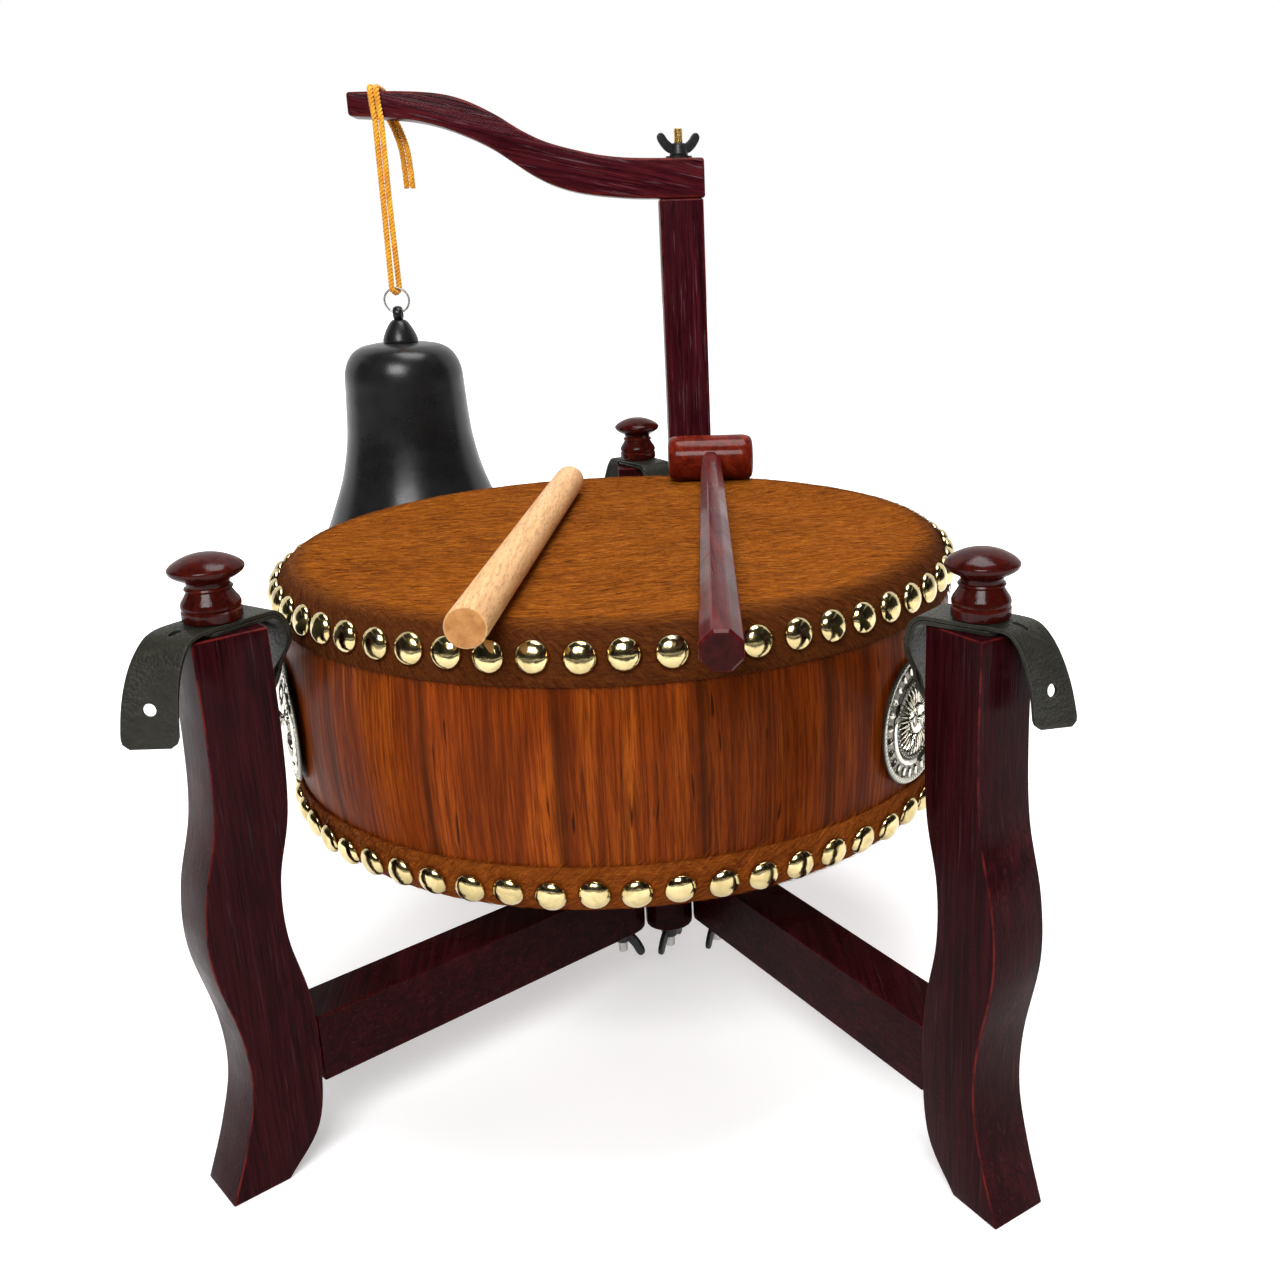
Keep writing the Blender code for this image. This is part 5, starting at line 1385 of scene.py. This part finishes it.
def strap_rows(side):
    """(point, way across, curl) from the end under the knob, round the ring's wire and back over to the tail."""
    knob = on_drum(leg_place(side), 0.0)
    outwards = STRAP_TAIL_PLAN[side].normalized()
    inwards = -outwards
    layer = LEG_HEIGHT + STRAP_GAP * 1.5 + STRAP
    flat_way = UP.cross(inwards)
    over_edge = [(0.0, 0.0)] + [(LEG_WIDTH / 2 + beyond, drop) for beyond, drop in STRAP_OVER_EDGE]
    middle = [(knob + inwards * reach + UP * (layer + drop), flat_way, 0.0) for reach, drop in over_edge]
    edge = middle[-1][0]
    centre, pull, wire = ring_hold(side, edge)
    hold = centre + pull * RING_RADIUS
    if wire.dot(flat_way) < 0:
        wire = -wire
    length = (edge - hold).length
    for reach, curl in [(length * 0.65, 0.0)] + STRAP_CURL:
        share = 1.0 - reach / length
        way = flat_way.lerp(wire, min(1.0, share * 1.2)).normalized()
        middle.append((edge.lerp(hold, share), way, curl))
    apart = (STRAP + STRAP_GAP) / 2
    turn_radius = RING_WIRE + STRAP_PLAY + STRAP / 2
    bent = len(STRAP_OVER_EDGE)
    last = len(middle) - 1
    lower, upper = [], []
    for k, (point, way, curl) in enumerate(middle):
        tangent = (middle[min(k + 1, last)][0] - middle[max(k - 1, 0)][0]).normalized()
        across = (way - tangent * way.dot(tangent)).normalized()
        normal = tangent.cross(across)
        travelled = (middle[bent][0] - point).length / (middle[bent][0] - middle[last][0]).length
        spread = apart + (turn_radius - apart) * travelled if k > bent else apart
        lower.append((point - normal * spread, across, curl))
        upper.append((point + normal * spread, across, curl))
    bend = []
    for degrees in (-60.0, -30.0, 0.0, 30.0, 60.0):
        angle = math.radians(degrees)
        offset = turn_radius * (tangent * math.cos(angle) + normal * math.sin(angle))
        bend.append((middle[last][0] + offset, across, 1.0))
    rows = [(lower[0][0] + outwards * STRAP_END, lower[0][1], 0.0)] + lower + bend + upper[::-1]
    start_way = rows[-1][1]
    end_way = STRAP_TAIL_ACROSS[side].normalized()
    if end_way.dot(start_way) < 0:
        end_way = -end_way
    root = on_drum(leg_place(side), STRAP_TOP_LAYER) + outwards * LEG_WIDTH / 2
    tail = smooth_through([rows[-1][0]] + [root + Vector(p) for p in STRAP_TAIL[side]], 2)[1:]
    for k, point in enumerate(tail):
        share = ((k + 1) / len(tail)) ** 1.4
        rows.append((point, start_way.lerp(end_way, share).normalized(), 0.0))
    return rows, (centre, pull)


def strap_section(row, ring, half, count):
    """Points across the strap. Near the ring they follow its wire round."""
    point, across, curl = row
    centre, pull = ring
    reach = (point - centre).dot(pull)
    found = []
    for k in range(count):
        offset = half * (2 * k / (count - 1) - 1)
        angle = offset / RING_RADIUS
        curved = (across * math.sin(angle) + pull * (math.cos(angle) - 1.0)) * reach
        found.append(point + (across * offset).lerp(curved, curl))
    return found


def slot_cutter(spot, way, along, length, radius):
    """A round punch, or an oval one where it has a length."""
    points = []
    for k in range(32):
        angle = 2 * math.pi * k / 32
        shift = length / 2 * (1 if math.cos(angle) > 0 else -1)
        points.append((radius * math.cos(angle) + shift, radius * math.sin(angle)))
    return board(points, STRAP * 5, 0.0, 1, facing(spot, way, along))


def strap_surface(rows, ring):
    """The strap's middle surface, closer than its rows, with the corners of its two ends rounded."""
    fine = 4
    dense = []
    for k, point in enumerate(smooth_through([row[0] for row in rows], fine)):
        index = min(k // fine, len(rows) - 2)
        share = k / fine - index
        way = rows[index][1].lerp(rows[index + 1][1], share).normalized()
        curl = rows[index][2] * (1 - share) + rows[index + 1][2] * share
        dense.append((point, way, curl))
    travelled = distances([row[0] for row in dense])
    builder = bmesh.new()
    grid = []
    for row, gone in zip(dense, travelled):
        near_end = min(gone, travelled[-1] - gone)
        pinch = 1.0
        if near_end <= STRAP_CORNER:
            pinch = 0.70 + 0.30 * math.sqrt(max(0.0, 1 - (1 - near_end / STRAP_CORNER) ** 2))
        points = strap_section(row, ring, STRAP_HALF * pinch, STRAP_POINTS_ACROSS)
        grid.append([builder.verts.new(point) for point in points])
    for near, far in zip(grid, grid[1:]):
        for k in range(STRAP_POINTS_ACROSS - 1):
            builder.faces.new((near[k], near[k + 1], far[k + 1], far[k]))
    return mesh_from(builder, "strap", 50.0)


def strap_punches(side, rows):
    """The hole over the leg's stud, and the hole and the slit in the tail."""
    knob = on_drum(leg_place(side), LEG_HEIGHT + STRAP * 1.2)
    punches = [slot_cutter(knob, UP, STRAP_TAIL_PLAN[side], 0.0, STRAP_STUD_HOLE)]
    for index, length, radius in ((-3, 0.0, STRAP_PUNCH), (-8, *STRAP_SLIT[side])):
        tangent = rows[index + 1][0] - rows[index - 1][0]
        punches.append(slot_cutter(rows[index][0], tangent.cross(rows[index][1]), tangent, length, radius))
    return joined(*punches)


def make_straps():
    """Cut from sheet leather, its edges bevelled and its holes punched through."""
    leather = strap_leather()
    for side in SIDES:
        rows, ring = strap_rows(side)
        obj = linked(bpy.data.objects.new("strap", strap_surface(rows, ring)))
        solid = obj.modifiers.new("Leather", "SOLIDIFY")
        solid.thickness = STRAP * 0.9
        solid.offset = 0.0
        edge = obj.modifiers.new("Edge", "BEVEL")
        edge.width = STRAP_EDGE
        edge.segments = 2
        edge.limit_method = "ANGLE"
        edge.angle_limit = math.radians(50)
        cutter = linked(bpy.data.objects.new("punches", strap_punches(side, rows)))
        hole = obj.modifiers.new("Holes", "BOOLEAN")
        hole.operation = "DIFFERENCE"
        hole.solver = "EXACT"
        hole.object = cutter
        graph = bpy.context.evaluated_depsgraph_get()
        finished = bpy.data.meshes.new_from_object(obj.evaluated_get(graph))
        bpy.data.objects.remove(obj)
        bpy.data.objects.remove(cutter)
        finished.shade_smooth()
        finished.set_sharp_from_angle(angle=math.radians(38))
        piece(f"leather_strap_{side}", finished, leather, f"{side}_leg", "strap_leather", f"strap_{side}")


# Post, arm and bell


def make_post_and_arm():
    low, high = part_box("bell_post")
    half = (high - low) / 2
    outline = [(-half.x, -half.y), (half.x, -half.y), (half.x, half.y), (-half.x, half.y)]
    post_wood = lacquered_wood("post_lacquer", dark=(0.012, 0.0016, 0.0030), body=(0.036, 0.0038, 0.0066),
                               light=(0.095, 0.0120, 0.0165), pale_pores_and_sheen=0.42)
    mesh = board(outline, half.z * 2, POST_EDGE, 4, Matrix.Translation((low + high) / 2))
    piece("post", mesh, post_wood, "back_leg", "dark_lacquer", "bell_post")
    repaint(post_wood, "post_packer")
    arm_wood = lacquered_wood("arm_lacquer", (0.0, math.radians(78), 0.0), dark=(0.014, 0.0016, 0.0032),
                              body=(0.056, 0.0052, 0.0088), light=(0.150, 0.0200, 0.0240), pale_pores_and_sheen=0.70)
    outline = curve(ARM_OVER, 6) + curve(ARM_UNDER, 6)
    stand = Matrix.Translation(on_drum(POST_PLACE, ARM_SEAT)) @ Matrix.Rotation(math.pi / 2, 4, "X")
    mesh = board(outline, ARM_DEPTH, ARM_EDGE, 4, stand)
    piece("curved_arm", mesh, arm_wood, "arm", "dark_lacquer", "bell_arm")


def bell_axis():
    return on_drum(POST_PLACE + BELL_FROM_POST, 0.0)


def make_bell():
    paint = black_metal("bell_black", (0.0080, 0.0082, 0.0085), 0.28, (0.10, 0.095, 0.09), 0.00003)
    hang = bell_axis()
    outside = smooth_through([(r, BELL_TOP - below, 0.0) for r, below in BELL_OUTSIDE], 6)
    inside = []
    for k in range(len(outside) - 2, 0, -1):
        run = outside[k + 1] - outside[k - 1]
        moved = outside[k] - Vector((-run.y, run.x, 0.0)).normalized() * BELL_WALL
        if moved.y < BELL_TOP - BELL_WALL - 0.0002:
            inside.append((moved.x, moved.y))
    mouth = BELL_TOP - BELL_HEIGHT
    lip = [(0.0724, mouth + 0.0004), (0.0718, mouth), (0.0698, mouth), (0.0690, mouth + 0.0005)]
    outline = [(BELL_BORE, BELL_TOP)] + [(p.x, p.y) for p in outside] + lip + inside
    outline += [(0.0190, BELL_TOP - BELL_WALL), (BELL_BORE, BELL_TOP - BELL_WALL)]
    piece("hung_bell", lathe(outline, 112, closed=True, sharp=40.0), paint, "hanging_bell", "bell_black", "bell",
          matrix=Matrix.Translation(hang))
    base = BELL_TOP + 0.0003
    cone = curve([
        (0.0046, CROWN_TOP - 0.0001), (0.0062, CROWN_TOP - 0.0014), (0.0080, CROWN_TOP - 0.0038),
        (0.0102, CROWN_TOP - 0.0076), (0.0119, CROWN_TOP - 0.0114), (0.0129, CROWN_TOP - 0.0146),
    ], 4)
    outline = [(0.0, CROWN_TOP)] + cone
    outline += [(0.0130, base + 0.0012), (0.0128, base), (CROWN_BOLT, base)]
    outline += [(CROWN_BOLT, BELL_TOP - CROWN_BOLT_LENGTH), (0.0, BELL_TOP - CROWN_BOLT_LENGTH)]
    turned = lathe(outline, 48, sharp=35.0)
    eye = rod(loop_line(CROWN_EYE_RADIUS, 36), CROWN_EYE_WIRE, 14, closed=True)
    eye.transform(facing(UP * CROWN_EYE_Z, Vector((1.0, 0.0, 0.0))) @ Matrix.Diagonal((1.0, 1.0, 1.9, 1.0)))
    piece("bell_hanger", joined(turned, eye), paint, "hanging_bell", "bell_black", "bell_crown",
          matrix=Matrix.Translation(hang))


def make_split_ring(steel):
    """Flat spring wire wound twice, with its two ends lying beside each other."""
    count = 120
    line = []
    for k in range(count + 1):
        angle = -math.pi / 2 + 2 * math.pi * SPLIT_RING_TURNS * k / count
        rise = SPLIT_RING_RISE * (k / count - 0.5)
        line.append(Vector((math.cos(angle) * SPLIT_RING_RADIUS, math.sin(angle) * SPLIT_RING_RADIUS, rise)))
    piece("wound_split_ring", rod(line, SPLIT_RING_WIRE * 0.72, 10), steel, "bell_cord", "plain_steel", "split_ring",
          matrix=facing(bell_axis() + UP * SPLIT_RING_Z, Vector((0.0, 1.0, 0.0))))


def even(line, step):
    """The same line with its points that far apart."""
    gone = distances(line)
    count = max(2, round(gone[-1] / step))
    found = []
    k = 0
    for i in range(count + 1):
        target = gone[-1] * i / count
        while k < len(line) - 2 and gone[k + 1] < target:
            k += 1
        found.append(line[k].lerp(line[k + 1], (target - gone[k]) / (gone[k + 1] - gone[k])))
    return found


def length_of(line):
    return sum((b - a).length for a, b in zip(line, line[1:]))


def twisted(line, phase):
    """Three plies laid round each other along the line."""
    builder = bmesh.new()
    uv = builder.loops.layers.uv.new("ply")
    frames_along = carried(line)
    step = length_of(line) / (len(line) - 1)
    for k in range(3):
        path = []
        for index, (point, first, second) in enumerate(frames_along):
            angle = phase + 2 * math.pi * (k / 3 + index * step / PLY_PITCH)
            path.append(point + (first * math.cos(angle) + second * math.sin(angle)) * (CORD - PLY))
        sweep(builder, path, PLY, 8, uv=uv)
    return mesh_from(builder, "cord", 60.0)


def drop_line():
    """Down from the arm, round the split ring's wire and up again."""
    hang = bell_axis()
    cut_z = ARM_TIP_TOP + CORD_CUT
    wire_top = SPLIT_RING_Z + SPLIT_RING_RADIUS
    loop = SPLIT_RING_WIRE + CORD + STRAP_GAP
    middle = (cut_z + wire_top) / 2
    front = [
        (-CORD_SPREAD, -CORD_OFF_AXIS, cut_z), (-CORD_SPREAD, -CORD_OFF_AXIS, cut_z - 0.012),
        (-CORD_SPREAD, -CORD_OFF_AXIS, middle), (-CORD_SPREAD, -loop * 0.9, wire_top + 0.009),
    ]
    bend = []
    for step in range(5):
        angle = math.pi + math.pi * step / 4
        across = CORD_SPREAD * (step / 2 - 1.0)
        bend.append((across, math.cos(angle) * loop, wire_top + math.sin(angle) * loop))
    behind = [
        (CORD_SPREAD, loop * 0.7, wire_top + 0.012), (CORD_SPREAD, -CORD_OFF_AXIS, middle),
        (CORD_SPREAD, -CORD_OFF_AXIS, cut_z - 0.012), (CORD_SPREAD, -CORD_OFF_AXIS, cut_z),
    ]
    return [hang + Vector(p) for p in front + bend + behind]


def make_cords():
    """The bell's cord, doubled: down to the split ring and back, and over the arm to two hanging tails."""
    yellow = cord_yellow()
    hitch = [bell_axis() + UP * ARM_TIP_TOP + Vector(p) for p in CORD_HITCH_ROUTE]
    beside = [point + CORD_TAIL_SHIFT for point in hitch]
    cords = (
        ("bell_cord_drop", "bell_cord", "cord_drop", drop_line(), "object", "taut", 0.0),
        ("bell_cord_hitch_outer", "arm", "cord_hitch_outer", hitch, "bare", "hanging", 0.9),
        ("bell_cord_hitch_inner", "arm", "cord_hitch_inner", beside, "bare", "hanging", 2.1),
    )
    for name, body, node, points, far_end, lay, phase in cords:
        line = even(smooth_through(points, 12), 0.0007)
        cord = piece(name, twisted(line, phase), yellow, body, "cord_yellow", node)


# Stick and mallet


def paint_end(obj, way, material):
    """Gives the flat end that looks along this way its own finish."""
    obj.data.materials.append(material)
    for face in obj.data.polygons:
        if face.normal.dot(way) > 0.97:
            face.material_index = 1


def make_stick():
    z = HEAD_FACE_Z + STRAP_GAP + STICK_RADIUS
    near, far = on_drum(STICK_NEAR, z), on_drum(STICK_FAR, z)
    length = (far - near).length
    outline = rounded([
        (0.0, length), (STICK_RADIUS * 0.97, length), (STICK_RADIUS, length * 0.97), (STICK_RADIUS, 0.0), (0.0, 0.0),
    ], STICK_ROUNDING, 5)
    mesh = lathe(outline, 48, sharp=40.0)
    way = (far - near).normalized()
    wood = beech("pale_beech", (math.pi / 2, 0.0, math.pi / 2 - math.atan2(way.y, way.x)))
    dowel = piece("dowel_stick", mesh, wood, "stick", "pale_beech", "drum_stick", matrix=facing(near, far - near))
    paint_end(dowel, -way, end_grain("sawn_beech", (0.400, 0.168, 0.050), (0.600, 0.285, 0.098)))


def make_mallet():
    centre = on_drum(MALLET_HEAD_PLACE, HEAD_FACE_Z + STRAP_GAP + MALLET_HEAD_RADIUS)
    near = on_drum(MALLET_NEAR, MALLET_NEAR_Z)
    way = (centre - near).normalized()
    side = way.cross(UP).normalized()
    length = (centre - near).length + MALLET_HEAD_RADIUS - 0.0015
    grain = (math.pi / 2, 0.0, math.pi / 2 - math.atan2(way.y, way.x))
    cross = (math.pi / 2, 0.0, math.pi / 2 - math.atan2(side.y, side.x))
    handle_wood = lacquered_wood("handle_lacquer", grain, dark=(0.026, 0.0024, 0.0030), body=(0.085, 0.0075, 0.0080),
                                 light=(0.165, 0.0170, 0.0155), worn=(0.130, 0.0150, 0.0120), grain=0.30, gloss=0.22,
                                 pale_pores_and_sheen=0.0)
    head_wood = lacquered_wood("mallet_lacquer", cross, dark=(0.044, 0.0034, 0.0020), body=(0.125, 0.0100, 0.0040),
                               light=(0.270, 0.0330, 0.0090), worn=(0.200, 0.0240, 0.0090), grain=0.35, gloss=0.22,
                               pale_pores_and_sheen=0.0)
    builder = bmesh.new()
    rings = []
    stations = [(0.0, 0.86), (0.0016, 0.98), (0.0030, 1.0)] + [(length * k / 10, 1.0) for k in range(1, 11)]
    for reach, share in stations:
        radius = (MALLET_NEAR_RADIUS + (MALLET_NECK_RADIUS - MALLET_NEAR_RADIUS) * reach / length) * share
        ring = []
        for k in range(8):
            for lean in (-0.30, 0.30):
                angle = math.pi / 4 * k + math.pi / 8 + lean * math.pi / 18
                ring.append(builder.verts.new((radius * math.cos(angle), radius * math.sin(angle), reach)))
        rings.append(ring)
    for low, high in zip(rings, rings[1:]):
        wall(builder, low, high)
    builder.faces.new(rings[0])
    builder.faces.new(rings[-1])
    shaft = piece("mallet_shaft", mesh_from(builder, "shaft", 18.0), handle_wood, "mallet", "red_lacquer",
                  "mallet_handle", matrix=facing(near, way, side))
    paint_end(shaft, -way, end_grain("sawn_handle", (0.018, 0.0020, 0.0022), (0.046, 0.0046, 0.0044)))
    half = MALLET_HEAD_LENGTH / 2
    radius = MALLET_HEAD_RADIUS
    outline = rounded([
        (0.0, half - 0.0005), (radius * 0.66, half), (radius * 0.90, half - 0.0014), (radius, half - 0.0060),
        (radius, -half + 0.0060), (radius * 0.90, -half + 0.0014), (radius * 0.66, -half), (0.0, -half + 0.0005),
    ], MALLET_ROUNDING, 5)
    piece("mallet_barrel", lathe(outline, 64, sharp=40.0), head_wood, "mallet", "red_lacquer", "mallet_head",
          matrix=facing(centre, side))


set_camera()
make_cords()
set_studio()
set_flags()
set_floor()
shapes_round = ring_of_shapes()
make_shell()
make_heads(coat_of_hair())
make_studs(shapes_round)
make_plates(shapes_round)
make_pins()
make_legs()
make_rails()
plain_steel = make_fittings()
make_rings(plain_steel)
make_split_ring(plain_steel)
make_knobs()
make_straps()
make_post_and_arm()
make_bell()
make_stick()
make_mallet()
